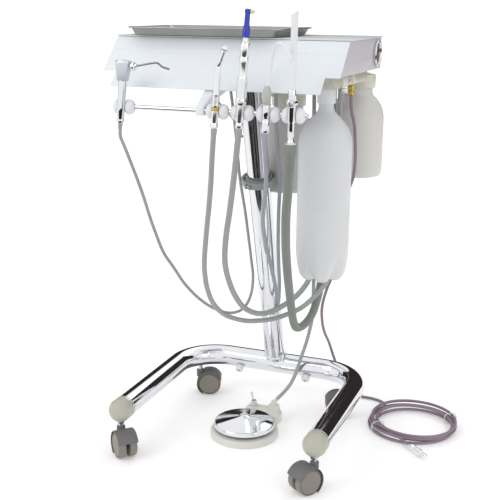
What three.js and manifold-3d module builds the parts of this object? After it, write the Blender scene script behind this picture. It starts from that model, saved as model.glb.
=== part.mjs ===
// Mobile dental delivery cart, millimetres, +Z up, front of the cart towards -Y.
import * as THREE from 'three';
import { mergeVertices } from 'three/addons/utils/BufferGeometryUtils.js';
import Module from 'manifold-3d';

const wasm = await Module();
wasm.setup();

// Frame: cart coordinates have x = 0 on the column and are shifted once to the bounding box centre.
const originShift = [-3.05, 2.05, 0];
const gap = 0.3;

// Base
const tubeR = 25.4;
const tubeWall = 1.6;
const legX = 224;
const legFrontY = -178.7;
const crossY = 220;
const bendR = 100;
const baseZ = 99.4;
const ballR = 26;

// Column
const columnTilt = 0.277;
const columnTopZ = 831.7;
const collarZ = 588;
const collarR = 40;
const collarH = 15;

// Casters
const wheelR = 29;
const wheelW = 17;
const casterTrail = 24;
const hoodR = 32.5;
const stemR = 5.5;

// Cabinet
const boxHalfX = 247.9;
const boxTopZ = 902;
const boxBottomZ = 838;
const boxFrontTopY = -102.7;
const boxFrontLowY = -166.4;
const boxRearY = 154.6;
const sheet = 2;
const panelT = 2.5;
const apronHalfX = 218.4;
const apronZ = 809.4;
const coverT = 3;

// Instrument bar
const barY = -210.3;
const barZ = 770.5;
const barR = 4.76;
const barHalf = 202;
const instrumentY = -226;
const holderX = [-177, 22.7, 73.3, 124.7, 174.5];
const holderNames = [
  'syringe_holder', 'high_speed_holder', 'low_speed_holder', 'saliva_holder', 'hve_holder',
];
const holderBore = [7.6, 7.0, 7.5, 7.6, 7.7];
const tilts = [0.089, 0.075, 0.075, 0.042, 0.016];
const cheekOffset = 12;
const cheek = [11.5, 14, 15];

// Tray
const trayX = [-225, 113];
const trayY = [-127, 117];
const trayZ = [905.6, 922];

// Bottles
const bottleX = 183.6;
const bottleY = -30;
const jugR = 60;
const rightJug = [196, 170, 600];
const centerJug = [35.1, 176, 552];
const jugH = 196;
const capH = 25;

// Foot control
const footC = [-1, 4];
const footR = 79;
const footDiscR = 70;
const footPost = [-12, 96];

const group = new THREE.Group();
group.name = 'dental_delivery_cart';

function signedVolume(geometry) {
  const p = geometry.attributes.position;
  const idx = geometry.index;
  const n = idx ? idx.count : p.count;
  const a = new THREE.Vector3();
  const b = new THREE.Vector3();
  const c = new THREE.Vector3();
  let v = 0;
  for (let i = 0; i < n; i += 3) {
    a.fromBufferAttribute(p, idx ? idx.getX(i) : i);
    b.fromBufferAttribute(p, idx ? idx.getX(i + 1) : i + 1);
    c.fromBufferAttribute(p, idx ? idx.getX(i + 2) : i + 2);
    v += a.dot(b.cross(c));
  }
  return v / 6;
}

function closed(geometry) {
  const g = geometry.clone();
  g.deleteAttribute('normal');
  g.deleteAttribute('uv');
  const m = mergeVertices(g, 1e-4);
  if (signedVolume(m) < 0) {
    const idx = m.index;
    for (let i = 0; i < idx.count; i += 3) {
      const t = idx.getX(i);
      idx.setX(i, idx.getX(i + 1));
      idx.setX(i + 1, t);
    }
  }
  return m;
}

function solid(geometry) {
  const m = closed(geometry);
  return new wasm.Manifold(new wasm.Mesh({
    numProp: 3,
    vertProperties: new Float32Array(m.attributes.position.array),
    triVerts: new Uint32Array(m.index.array),
  }));
}

function fromSolid(body) {
  const mesh = body.getMesh();
  const g = new THREE.BufferGeometry();
  const pos = new Float32Array((mesh.vertProperties.length / mesh.numProp) * 3);
  for (let i = 0; i < pos.length / 3; i += 1) {
    pos[3 * i] = mesh.vertProperties[i * mesh.numProp];
    pos[3 * i + 1] = mesh.vertProperties[i * mesh.numProp + 1];
    pos[3 * i + 2] = mesh.vertProperties[i * mesh.numProp + 2];
  }
  g.setAttribute('position', new THREE.BufferAttribute(pos, 3));
  g.setIndex(new THREE.BufferAttribute(new Uint32Array(mesh.triVerts), 1));
  return g;
}

function add(name, shape, colour, roughness, metalness) {
  const base = shape.isBufferGeometry ? closed(shape) : fromSolid(shape);
  base.translate(originShift[0], originShift[1], originShift[2]);
  base.computeVertexNormals();
  const material = new THREE.MeshStandardMaterial({ color: colour, roughness, metalness });
  const mesh = new THREE.Mesh(base, material);
  mesh.name = name;
  group.add(mesh);
}

function union(list) {
  return list.reduce((a, b) => a.add(b));
}

// Body of revolution about +Z from [radius, z] pairs that start and end on the axis.
function lathe(profile, segments) {
  const g = new THREE.LatheGeometry(profile.map(([r, z]) => new THREE.Vector2(r, z)), segments);
  g.rotateX(Math.PI / 2);
  return g;
}

// Ring of revolution about +Z from a closed loop of [radius, z] pairs.
function ring(profile, segments) {
  return lathe([...profile, profile[0]], segments);
}

function rod(r, z0, z1, segments) {
  return lathe([[0, z0], [r, z0], [r, z1], [0, z1]], segments);
}

function box(x0, x1, y0, y1, z0, z1) {
  const g = new THREE.BoxGeometry(x1 - x0, y1 - y0, z1 - z0);
  g.translate((x0 + x1) / 2, (y0 + y1) / 2, (z0 + z1) / 2);
  return g;
}

// Turns a shape built along +Z so its axis points along dir, then moves it to pos.
function aim(geometry, dir, pos) {
  const q = new THREE.Quaternion();
  q.setFromUnitVectors(new THREE.Vector3(0, 0, 1), new THREE.Vector3(...dir).normalize());
  geometry.applyQuaternion(q);
  geometry.translate(...pos);
  return geometry;
}

// A route through listed points, one ring of the tube at each point.
class Route extends THREE.Curve {
  constructor(points) {
    super();
    this.points = points.map((p) => new THREE.Vector3(...p));
  }
  getPoint(t, target = new THREE.Vector3()) {
    const s = t * (this.points.length - 1);
    const i = Math.min(Math.floor(s), this.points.length - 2);
    return target.lerpVectors(this.points[i], this.points[i + 1], s - i);
  }
  getUtoTmapping(u) {
    return u;
  }
  getTangent(t, target = new THREE.Vector3()) {
    const last = this.points.length - 1;
    const i = Math.round(t * last);
    const a = this.points[Math.max(i - 1, 0)];
    const b = this.points[Math.min(i + 1, last)];
    return target.subVectors(b, a).normalize();
  }
}

function sweep(points, r, sides, inner) {
  const shape = new THREE.Shape();
  for (let i = 0; i < sides; i += 1) {
    const a = (2 * Math.PI * i) / sides;
    if (i === 0) shape.moveTo(r * Math.cos(a), r * Math.sin(a));
    else shape.lineTo(r * Math.cos(a), r * Math.sin(a));
  }
  if (inner) {
    const hole = new THREE.Path();
    for (let i = 0; i < sides; i += 1) {
      const a = (-2 * Math.PI * i) / sides;
      if (i === 0) hole.moveTo(inner * Math.cos(a), inner * Math.sin(a));
      else hole.lineTo(inner * Math.cos(a), inner * Math.sin(a));
    }
    shape.holes.push(hole);
  }
  return new THREE.ExtrudeGeometry(shape, {
    steps: points.length - 1,
    extrudePath: new Route(points),
    bevelEnabled: false,
  });
}

// Smooth points between the listed ones, at the given spacing.
function smooth(points, spacing) {
  const curve = new THREE.CatmullRomCurve3(points.map((p) => new THREE.Vector3(...p)), false, 'centripetal');
  const n = Math.max(4, Math.round(curve.getLength() / spacing));
  return curve.getSpacedPoints(n).map((p) => [p.x, p.y, p.z]);
}

// Polygon in the YZ plane pushed along X between x0 and x1.
function yzPrism(points, x0, x1) {
  const shape = new THREE.Shape(points.map(([y, z]) => new THREE.Vector2(y, z)));
  const g = new THREE.ExtrudeGeometry(shape, { depth: x1 - x0, bevelEnabled: false });
  g.applyMatrix4(new THREE.Matrix4().makeBasis(
    new THREE.Vector3(0, 1, 0),
    new THREE.Vector3(0, 0, 1),
    new THREE.Vector3(1, 0, 0),
  ));
  g.translate(x0, 0, 0);
  return g;
}

// Closed skin through rounded rectangles [x0, x1, y0, y1, corner radius, z], first to last.
function loft(levels, arc) {
  const pos = [];
  const idx = [];
  const n = 4 * (arc + 1);
  levels.forEach(([x0, x1, y0, y1, r, z]) => {
    const corners = [
      [x1 - r, y1 - r, 0], [x0 + r, y1 - r, 90], [x0 + r, y0 + r, 180], [x1 - r, y0 + r, 270],
    ];
    corners.forEach(([cx, cy, start]) => {
      for (let i = 0; i <= arc; i += 1) {
        const a = ((start + (90 * i) / arc) * Math.PI) / 180;
        pos.push(cx + r * Math.cos(a), cy + r * Math.sin(a), z);
      }
    });
  });
  for (let k = 0; k < levels.length - 1; k += 1) {
    for (let i = 0; i < n; i += 1) {
      const a = k * n + i;
      const b = k * n + ((i + 1) % n);
      idx.push(a, b, b + n, a, b + n, a + n);
    }
  }
  [[0, 1], [levels.length - 1, -1]].forEach(([k, s]) => {
    const [x0, x1, y0, y1, , z] = levels[k];
    const c = pos.length / 3;
    pos.push((x0 + x1) / 2, (y0 + y1) / 2, z);
    for (let i = 0; i < n; i += 1) {
      const a = k * n + i;
      const b = k * n + ((i + 1) % n);
      if (s > 0) idx.push(c, b, a);
      else idx.push(c, a, b);
    }
  });
  const g = new THREE.BufferGeometry();
  g.setAttribute('position', new THREE.BufferAttribute(new Float32Array(pos), 3));
  g.setIndex(idx);
  return g;
}

const chrome = ['#c9ccd0', 0.12, 1];
const steel = ['#b9babd', 0.3, 1];
const white = ['#e6e9ec', 0.45, 0];
const cream = ['#dcd8c8', 0.5, 0];
const bottle = ['#cfd0d2', 0.55, 0];
const jugTone = ['#c9c8be', 0.55, 0];
const grayHose = ['#969b99', 0.6, 0];

// Base: one bent tube, open at both ends under the round end balls.
const tubePath = [[-legX, legFrontY + 20, baseZ], [-legX, -20, baseZ]];
for (let i = 0; i <= 5; i += 1) {
  const a = (i * 18 * Math.PI) / 180;
  tubePath.push([-legX + bendR - bendR * Math.cos(a), crossY - bendR + bendR * Math.sin(a), baseZ]);
}
for (let i = 5; i >= 0; i -= 1) {
  const a = (i * 18 * Math.PI) / 180;
  tubePath.push([legX - bendR + bendR * Math.cos(a), crossY - bendR + bendR * Math.sin(a), baseZ]);
}
tubePath.push([legX, -20, baseZ], [legX, legFrontY + 20, baseZ]);
add('base_tube', sweep(tubePath, tubeR, 14, tubeR - tubeWall), ...chrome);

const ballProfile = [[0, -ballR]];
for (let i = 1; i < 7; i += 1) {
  const a = ((-90 + i * 19) * Math.PI) / 180;
  ballProfile.push([ballR * Math.cos(a), ballR * Math.sin(a)]);
}
ballProfile.push([ballR * 0.93, 20 - gap], [0, 20 - gap]);
[['left_end_ball', -1], ['right_end_ball', 1]].forEach(([name, s]) => {
  add(name, aim(lathe(ballProfile, 16), [0, 1, 0], [s * legX, legFrontY, baseZ]), '#b9baac', 0.5, 0);
});

// White stops with a brass insert hole, under the front of the crossbar.
[['left_bumper', -88], ['right_bumper', 86]].forEach(([name, x]) => {
  const g = ring([[2.6, -7], [8, -7], [10, -5], [10, 5], [8, 7], [2.6, 7]], 10);
  add(name, aim(g, [0, -0.8, -0.6], [x, crossY - 26.4, baseZ - 19.8]), ...white);
});

// Column: one tube leaning forward, coped over the crossbar and cut level under the cabinet.
const columnDir = [0, -Math.sin(columnTilt), Math.cos(columnTilt)];
const columnLean = Math.tan(columnTilt);
const columnAt = (z) => crossY - (z - baseZ) * columnLean;
const columnRaw = solid(aim(rod(tubeR, 0, 800, 18), columnDir, [0, crossY, baseZ]))
  .subtract(solid(aim(rod(tubeR - tubeWall, -10, 810, 18), columnDir, [0, crossY, baseZ])))
  .subtract(solid(aim(rod(tubeR + 0.9, -60, 60, 16), [1, 0, 0], [0, crossY, baseZ])))
  .subtract(solid(box(-60, 60, -100, 60, columnTopZ, columnTopZ + 120)));
const columnParts = columnRaw.decompose();
columnParts.sort((a, b) => b.volume() - a.volume());
add('column_tube', columnParts[0], ...chrome);

const collarBody = union([
  solid(ring([[collarR - 5, -collarH / 2], [collarR, -collarH / 2], [collarR, collarH / 2],
    [collarR - 5, collarH / 2]], 20)),
  solid(ring([[tubeR + 0.9, -6], [tubeR + 4, -6], [tubeR + 4, 6], [tubeR + 0.9, 6]], 18)),
  solid(box(tubeR + 1.5, collarR - 3, -2, 2, -5, 5)),
  solid(box(-collarR + 3, -tubeR - 1.5, -2, 2, -5, 5)),
  solid(box(-2, 2, tubeR + 1.5, collarR - 3, -5, 5)),
  solid(box(-2, 2, -collarR + 3, -tubeR - 1.5, -5, 5)),
]);
const collarAt = [0, columnAt(collarZ), collarZ];
add('hose_collar', aim(fromSolid(collarBody), columnDir, collarAt), '#828782', 0.5, 0.1);

// Casters: the hood carries the stem, the two wheels share one axle.
const casters = [
  ['front_left', -legX, legFrontY, [0.72, -0.69]],
  ['front_right', legX, legFrontY, [-0.57, -0.82]],
  ['rear_left', -194.7, 190.7, [0.94, 0.34]],
  ['rear_right', 194.7, 190.7, [-0.94, -0.34]],
];
function casterHood() {
  const shell = solid(aim(rod(hoodR, -23, 23, 18), [0, 1, 0], [casterTrail, 0, wheelR]))
    .subtract(solid(aim(rod(wheelR + 1.5, -28, -4, 16), [0, 1, 0], [casterTrail, 0, wheelR])))
    .subtract(solid(aim(rod(wheelR + 1.5, 4, 28, 16), [0, 1, 0], [casterTrail, 0, wheelR])))
    .subtract(solid(box(-20, 80, -32, 32, -10, wheelR - 8)));
  const post = solid(rod(9, 42, 62, 10))
    .subtract(solid(aim(rod(wheelR + 1.5, -28, -4, 16), [0, 1, 0], [casterTrail, 0, wheelR])))
    .subtract(solid(aim(rod(wheelR + 1.5, 4, 28, 16), [0, 1, 0], [casterTrail, 0, wheelR])));
  const pin = solid(rod(stemR, 56, baseZ - ballR - gap, 10));
  const bore = solid(aim(rod(3 + gap, -10, 10, 8), [0, 1, 0], [casterTrail, 0, wheelR]));
  return union([shell, post, pin]).subtract(bore);
}
function casterWheels() {
  const g = lathe([
    [0, -4.4 - wheelW], [25, -4.4 - wheelW], [wheelR, -1.4 - wheelW], [wheelR, -4.4], [3, -4.4], [3, 4.4],
    [wheelR, 4.4], [wheelR, 1.4 + wheelW], [25, 4.4 + wheelW], [0, 4.4 + wheelW],
  ], 18);
  return aim(g, [0, 1, 0], [casterTrail, 0, wheelR]);
}
casters.forEach(([name, x, y, [dx, dy]]) => {
  const turn = Math.atan2(dy, dx);
  const hood = fromSolid(casterHood());
  hood.rotateZ(turn);
  hood.translate(x, y, 0);
  add(`${name}_caster_hood`, hood, '#6b6b6b', 0.6, 0);
  const wheels = casterWheels();
  wheels.rotateZ(turn);
  wheels.translate(x, y, 0);
  add(`${name}_caster_wheels`, wheels, '#827c72', 0.55, 0);
});

// Cabinet: folded sheet box, open at the top under its cover.
const slopeRun = boxFrontTopY - boxFrontLowY;
const slopeRise = boxTopZ - boxBottomZ;
const slopeLen = Math.hypot(slopeRun, slopeRise);
const down = [-slopeRun / slopeLen, -slopeRise / slopeLen];
const inward = [-down[1], down[0]];
const shellBack = panelT + gap;
const shellTopY = boxFrontTopY + shellBack / inward[0];
const shellLowY = boxFrontLowY + shellBack / inward[0];
const shellOuter = solid(yzPrism([[shellTopY, boxTopZ], [shellLowY, boxBottomZ], [boxRearY, boxBottomZ],
  [boxRearY, boxTopZ]], -boxHalfX, boxHalfX));
const shellInner = solid(yzPrism([
  [shellTopY + 7, boxTopZ + 5], [shellLowY + 6, boxBottomZ + sheet],
  [boxRearY - sheet, boxBottomZ + sheet], [boxRearY - sheet, boxTopZ + 5],
], -boxHalfX + sheet, boxHalfX - sheet));
add('cabinet_shell', shellOuter.subtract(shellInner), '#c9c4cc', 0.45, 0.1);
add('cabinet_cover', box(-boxHalfX - 2, boxHalfX + 2, boxFrontTopY, boxRearY + 2, boxTopZ + gap,
  boxTopZ + gap + coverT), '#dcdee1', 0.35, 0.1);

// Front panel: a sloped plate whose narrower lower part hangs below the box as an apron.
const apronLen = (boxTopZ - apronZ) / -down[1];
const panelShape = new THREE.Shape([
  [-boxHalfX, 0], [boxHalfX, 0], [boxHalfX, slopeLen], [apronHalfX, slopeLen], [apronHalfX, apronLen],
  [-apronHalfX, apronLen], [-apronHalfX, slopeLen], [-boxHalfX, slopeLen],
].map(([x, v]) => new THREE.Vector2(x, v)));
const panel = new THREE.ExtrudeGeometry(panelShape, { depth: panelT, bevelEnabled: false });
panel.applyMatrix4(new THREE.Matrix4().makeBasis(
  new THREE.Vector3(1, 0, 0),
  new THREE.Vector3(0, down[0], down[1]),
  new THREE.Vector3(0, inward[0], inward[1]),
));
panel.translate(0, boxFrontTopY, boxTopZ);
add('front_panel', solid(panel).subtract(solid(box(-300, 300, -120, -60, boxTopZ, boxTopZ + 10))), ...white);

// Bar arm: column flange under the cabinet with a tapered arm that reaches forward to the bar.
const armFlange = solid(box(-45, 45, -60, 60, boxBottomZ - gap - 5.5, boxBottomZ - gap));
const armWeb = solid(loft([
  [-22, -4, barY - 9, barY + 9, 6, barZ - 9],
  [-22, -4, barY - 9.5, barY + 14, 6, barZ + 6],
  [-17, 9, -190, -110, 7, apronZ - 3],
  [-15, 15, -157, -50, 8, boxBottomZ - gap],
], 3));
const armBore = solid(aim(rod(barR + 0.25, -40, 40, 16), [1, 0, 0], [0, barY, barZ]));
const armClear = solid(panel.clone().translate(0, 0.6, -0.6));
const columnClear = solid(aim(rod(tubeR + gap, 700, 790, 20), columnDir, [0, crossY, baseZ]))
  .subtract(solid(box(-60, 60, -100, 60, columnTopZ + 0.1, columnTopZ + 120)));
add('bar_arm', armFlange.add(armWeb).subtract(armBore).subtract(armClear).subtract(columnClear), ...white);

add('holder_bar', aim(lathe([[0, -barHalf], [3, -barHalf], [barR, -barHalf + 2], [barR, barHalf - 2],
  [3, barHalf], [0, barHalf]], 14), [1, 0, 0], [0, barY, barZ]), ...chrome);

// Moves a shape built around the instrument axis (z = 0 at the holder centre) into its holder.
function place(geometry, slot) {
  geometry.rotateY(tilts[slot]);
  geometry.translate(holderX[slot], instrumentY, barZ);
  return geometry;
}

holderNames.forEach((name, slot) => {
  const cheeks = [-1, 1].map((s) => {
    const g = new THREE.SphereGeometry(1, 10, 7);
    g.rotateX(Math.PI / 2);
    g.scale(...cheek);
    g.translate(holderX[slot] + s * cheekOffset, barY - 3, barZ);
    return solid(g);
  });
  const saddle = solid(box(holderX[slot] - 14, holderX[slot] + 14, barY - 6, barY + 8, barZ - 9, barZ + 9));
  const r = holderBore[slot] + 0.45;
  const channel = fromSolid(solid(rod(r, -40, 40, 12)).add(solid(box(-r, r, -30, 0, -40, 40))));
  const bore = solid(aim(rod(barR + 0.75, -40, 40, 8), [1, 0, 0], [holderX[slot], barY, barZ]));
  add(name, union([...cheeks, saddle]).subtract(solid(place(channel, slot))).subtract(bore), ...white);
});

// Air and water syringe
const syringeBody = union([
  solid(lathe([[0, -31], [6.2, -31], [7.2, -28], [7.5, 0], [8.6, 64], [0, 64]], 16)),
  solid(loft([[-9.5, 9.5, -8.5, 8.5, 4, 60], [-15, 15.5, -9, 9, 4, 86], [-13, 14, -7.5, 7.5, 4, 91]], 2)),
]);
const buttonDir = [-0.6, 0, 0.8];
const buttonAt = [[-11.5, -4.2, 86.5], [-11.5, 4.2, 86.5]];
const syringeCut = syringeBody
  .subtract(solid(aim(box(-8, 8, -12, 12, 0, 12), buttonDir, [-13.2, 0, 87])));
const buttonSeats = buttonAt.map((p) => solid(aim(rod(3.1, -5, 6, 12), buttonDir, p)));
const syringeShell = syringeCut.subtract(buttonSeats[0]).subtract(buttonSeats[1]);
add('syringe_body', place(fromSolid(syringeShell), 0), ...steel);
[['syringe_air_button', 0], ['syringe_water_button', 1]].forEach(([name, i]) => {
  const g = aim(lathe([[0, -2], [2.8, -2], [2.8, 2.6], [2, 3.6], [0, 3.6]], 12), buttonDir, buttonAt[i]);
  add(name, place(g, 0), '#3a3b3d', 0.5, 0);
});
const nozzleDir = [Math.cos(0.18 + 0.089), 0, Math.sin(0.18 + 0.089)];
const nozzleRoute = [
  [0, 0, -1], [0, 0, 10], [0, 0, 52], [1.4, 0, 56], [4.6, 0, 59.6], [9, 0, 63], [16.5, 0, 78],
];
const nozzleBody = solid(rod(8.2, 0, 7, 14)).add(solid(rod(4, 6, 12, 12)))
  .add(solid(sweep(nozzleRoute, 1.9, 8)));
add('syringe_nozzle', place(aim(fromSolid(nozzleBody), nozzleDir, [18.4, 0, 81]), 0), ...chrome);

// High-speed handpiece
const neckDir = [Math.sin(0.325), 0, Math.cos(0.325)];
const headAt = [neckDir[0] * 34, 0, 86 + neckDir[2] * 34];
const highBody = union([
  solid(lathe([[0, -31], [6, -31], [7, -29], [7, 3], [6, 4], [6, 10], [7.1, 13], [7, 30], [5.6, 70],
    [5.2, 86], [4, 90], [0, 91]], 12)),
  solid(aim(lathe([[0, -2], [5.2, -1], [4.4, 16], [4.2, 34], [0, 34]], 10), neckDir, [0, 0, 86])),
  solid(aim(lathe([[0, -6.5], [3.2, -6.5], [3.4, -4.8], [5.4, -4.5], [5.8, 5], [4.4, 6.6], [0, 6.6]], 12),
    [-neckDir[2], 0, neckDir[0]], headAt)),
]);
add('high_speed_handpiece', place(fromSolid(highBody), 1), ...steel);

// Low-speed motor with a disposable prophy angle and its cup
const flute = [];
for (let i = 0; i < 3; i += 1) {
  const z = 29 + i * 12;
  flute.push([9.7, z], [10.3, z + 1], [10.3, z + 9], [9.7, z + 10]);
}
add('low_speed_motor', place(lathe([
  [0, -28], [6.6, -28], [7.5, -26], [7.5, 15.6], [10.3, 16.2], [10.3, 27], ...flute, [8, 66], [8, 92],
  [8.7, 95], [8.7, 129], [5.4, 132], [5.4, 139], [4.4, 139.5], [4.4, 146], [0, 146],
], 14), 2), ...steel);
const prophyBody = solid(lathe([[4.7, 140], [7.1, 140], [7.1, 146], [5.2, 168], [5, 186], [0, 188],
  [0, 146.4], [4.7, 146.4], [4.7, 140]], 14))
  .add(solid(aim(rod(4.6, -4.5, 5.5, 12), [1, 0, 0], [0, 0, 186])));
const cupSeat = solid(aim(rod(2.2, 3, 9, 10), [1, 0, 0], [0, 0, 186]));
add('prophy_angle', place(fromSolid(prophyBody.subtract(cupSeat)), 2), '#3340a6', 0.4, 0);
add('prophy_cup', place(aim(lathe([[0, 3.4], [1.9, 3.4], [1.9, 5.9], [3.5, 6.4], [3.1, 12], [2.4, 12.4],
  [1.6, 9], [0, 8.6]], 12), [1, 0, 0], [0, 0, 186]), 2), '#e6dfb4', 0.6, 0);

// Saliva ejector
add('saliva_valve', place(lathe([
  [0, -34], [6.4, -34], [7.6, -32], [7.6, -12], [6.6, -10], [6.6, -4],
  [7.6, -2], [7.6, 19], [5, 20], [0, 20],
], 16), 3), ...chrome);
const salivaRoute = smooth([
  [0, 0, 50], [3.4, 0, 72], [6, -1, 92], [8.6, -3, 112], [13, -6, 126], [22, -10, 132.5],
  [33, -14, 129], [42, -17, 119], [50, -20, 103],
], 9);
const salivaTip = solid(lathe([[0, 20.4], [8, 20.4], [8, 44], [6.6, 50], [5, 54], [0, 54]], 16))
  .add(solid(sweep(salivaRoute, 2.9, 8)));
add('saliva_tip', place(fromSolid(salivaTip), 3), '#e9eaec', 0.35, 0);

// High-volume evacuator
const hveBody = solid(lathe([
  [0, -69], [10, -69], [11.4, -66], [11.4, -50], [6, -45], [6, -12], [7.7, -10], [7.7, 48], [0, 48],
], 14))
  .add(solid(aim(rod(8.5, -10, 7.8, 12), [0, -1, 0], [0, 0, 24])));
add('hve_valve', place(fromSolid(hveBody), 4), ...chrome);
add('hve_valve_knob', place(aim(lathe([[0, 8.1], [7, 8.1], [7, 11], [5.5, 13], [0, 13]], 14), [0, -1, 0],
  [0, 0, 24]), 4), '#c4c6c8', 0.4, 0.6);
const hveTip = solid(rod(6.4, 48.4, 190, 16)).subtract(solid(rod(4.9, 60, 200, 14)))
  .subtract(solid(aim(box(-20, 20, -20, 20, 0, 30), [-0.5, -0.2, 0.84], [0, 0, 184])));
add('hve_tip', place(fromSolid(hveTip), 4), '#ecedef', 0.4, 0);

// Tray: pressed sheet with sloped walls and a flat rim.
const [tx0, tx1] = trayX;
const [ty0, ty1] = trayY;
const [tz0, tz1] = trayZ;
const trayLevel = (inset, r, z) => [tx0 + inset, tx1 - inset, ty0 + inset, ty1 - inset, r, z];
add('tray', loft([
  trayLevel(17, 20, tz0), trayLevel(13, 24, tz0 + 3), trayLevel(5, 31, tz1 - 1.8),
  trayLevel(0, 36, tz1 - 1.8), trayLevel(0, 36, tz1), trayLevel(6.2, 30, tz1),
  trayLevel(14.3, 23, tz0 + 3.6), trayLevel(18, 19, tz0 + 1.2),
], 5), '#9a9590', 0.22, 1);

// Pressure gauge on the right side of the cabinet
const gaugeAt = [boxHalfX + gap, 113, 870.6];
const gaugeBody = lathe([
  [0, 0], [25.8, 0], [26.4, 2], [26.4, 5], [25, 6.2], [22.6, 6.2],
  [22, 2.2], [1.6, 2.2], [1.6, 1.2], [0, 1.2],
], 20);
add('gauge_bezel', aim(gaugeBody, [1, 0, 0], gaugeAt), ...steel);
const needle = solid(rod(1.3, 1.4, 4.2, 10))
  .add(solid(box(-1, 1, -7, 18, 2.9, 3.9)));
add('gauge_needle', aim(fromSolid(needle), [1, 0, 0], gaugeAt), '#1c1c1e', 0.5, 0);

// Service bracket under the right side: side flange, valve block and the socket above the bottle cap
const serviceBody = union([
  solid(box(232, 235, -98, 92, 816, boxBottomZ - gap)),
  solid(box(214, 237.5, -96, -36, 818, 834)),
  solid(box(150, 234, -60, 0, boxBottomZ - gap - 4, boxBottomZ - gap)),
  solid(rod(28, 807, boxBottomZ - gap - 1, 20).translate(bottleX, bottleY, 0)),
  solid(aim(rod(6, -1, 17, 12), [0, 0, -1], [232, -70, 819])),
  solid(box(225.5, 238.5, -30, -12, 819, 836)),
]);
add('service_bracket', serviceBody, '#d4d0cf', 0.5, 0);
add('air_inlet_fitting', lathe([
  [0, 793.5], [4.4, 793.5], [6, 795], [6, 801], [4.6, 802], [4.6, 804], [6.7, 805],
  [6.7, 812], [4.5, 813], [4.5, 815.7], [0, 815.7],
], 12).translate(232, -21, 0), '#b08a35', 0.3, 1);

// Front water bottle and its screw cap
add('bottle_cap', ring([[15.6, 777], [18.4, 777], [18.8, 778.5], [18.8, 805], [17.8, 806.7], [12, 806.7],
  [12, 804], [15.6, 803.2]], 18).translate(bottleX, bottleY, 0), '#d9dadb', 0.5, 0);
add('front_bottle', lathe([[0, 416], [22, 409], [34, 411], [46, 431], [53, 466], [55, 492], [55, 700],
  [51, 718], [36, 742], [22, 754], [15.1, 760], [15.1, 802.6], [12.8, 802.6], [12.8, 758], [34, 739],
  [49, 717], [53, 699], [53, 493], [51, 467], [44, 433], [33, 413.6], [0, 418.6]], 20)
  .translate(bottleX, bottleY, 0), ...bottle);

// Two wide-mouth jugs screwed into caps on a bracket under the rear of the cabinet
function jug([x, y, z]) {
  return lathe([
    [0, z + 3], [48, z + 3], [52, z], [58, z + 6], [jugR, z + 24], [jugR, z + 128], [55, z + 152],
    [40, z + 176], [33, z + 180], [33, z + jugH + 18], [30.8, z + jugH + 18], [30.8, z + 178],
    [38.8, z + 174], [53.2, z + 151], [58, z + 127.4], [58, z + 24.4], [55, z + 5.4], [0, z + 5.4],
  ], 20).translate(x, y, 0);
}
add('right_jug', jug(rightJug), ...jugTone);
add('center_jug', jug(centerJug), ...jugTone);
const jugCap = ([x, y, z]) => solid(ring([
  [34.1, z + jugH - 2], [38.4, z + jugH - 2], [39, z + jugH], [39, z + jugH + capH],
  [37, z + jugH + capH + 1.5], [20, z + jugH + capH + 1.5], [20, z + jugH + 19], [34.1, z + jugH + 19],
], 16).translate(x, y, 0));
const rightCapTop = rightJug[2] + jugH + capH;
const centerCapTop = centerJug[2] + jugH + capH;
add('jug_bracket', union([
  jugCap(rightJug),
  jugCap(centerJug),
  solid(box(rightJug[0] - 38, rightJug[0] + 20, 112, 196, rightCapTop - 2, rightCapTop + 3.5)),
  solid(box(rightJug[0] - 38, rightJug[0] + 20, 112, 116, rightCapTop, boxBottomZ - gap)),
  solid(box(centerJug[0] - 30, centerJug[0] + 30, 112, 200, centerCapTop - 2, centerCapTop + 3.5)),
  solid(box(centerJug[0] - 30, centerJug[0] + 30, 112, 116, centerCapTop, boxBottomZ - gap)),
  solid(box(centerJug[0] - 30, rightJug[0] + 20, 100, 150, boxBottomZ - gap - 3, boxBottomZ - gap)),
]), '#d6d4ce', 0.5, 0);

// Foot control on the floor between the legs
const footBase = union([
  solid(lathe([[0, 0], [footR, 0], [footR, 12], [footR - 3, 15.5], [footR - 10, 16.5], [0, 16.5]], 24)
    .translate(footC[0], footC[1], 0)),
  solid(loft([[-34, 56, 70, 116, 12, 0], [-34, 56, 70, 116, 12, 22], [-28, 50, 82, 110, 10, 30]], 3)),
  solid(loft([[22, 54, 84, 112, 10, 20], [25, 51, 87, 109, 9, 40]], 3)),
  solid(rod(6.5, 38, 51, 12).translate(38, 98, 0)),
  solid(aim(rod(4.6, 0, 16, 10), [0, 1, 0], [38, 98, 46])),
]).subtract(solid(rod(footDiscR + 0.8, 17, 60, 24).translate(footC[0], footC[1], 0)));
const toggleSeat = [footPost[0], footPost[1], 38];
const footPostBody = solid(rod(8, 26, 34, 12).translate(footPost[0], footPost[1], 0))
  .add(solid(rod(6.6, 32, 42, 12).translate(footPost[0], footPost[1], 0)))
  .subtract(solid(rod(5, 37, 50, 12).translate(footPost[0], footPost[1], 0)));
add('foot_base', footBase.add(footPostBody), ...cream);
add('foot_disc', lathe([
  [0, 46], [16, 41], [footDiscR - 4, 31], [footDiscR - 3, 23], [footDiscR, 23], [footDiscR, 32],
  [footDiscR - 3, 34], [18, 44], [9, 48], [0, 49],
], 28).translate(footC[0], footC[1], 0), ...chrome);
const toggleLever = lathe([[0, 0.4], [2.2, 0.4], [1.9, 11], [2.8, 25], [2.2, 28], [0, 29]], 10);
add('foot_toggle', aim(toggleLever, [-0.25, 0, 0.97], toggleSeat), ...steel);

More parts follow.
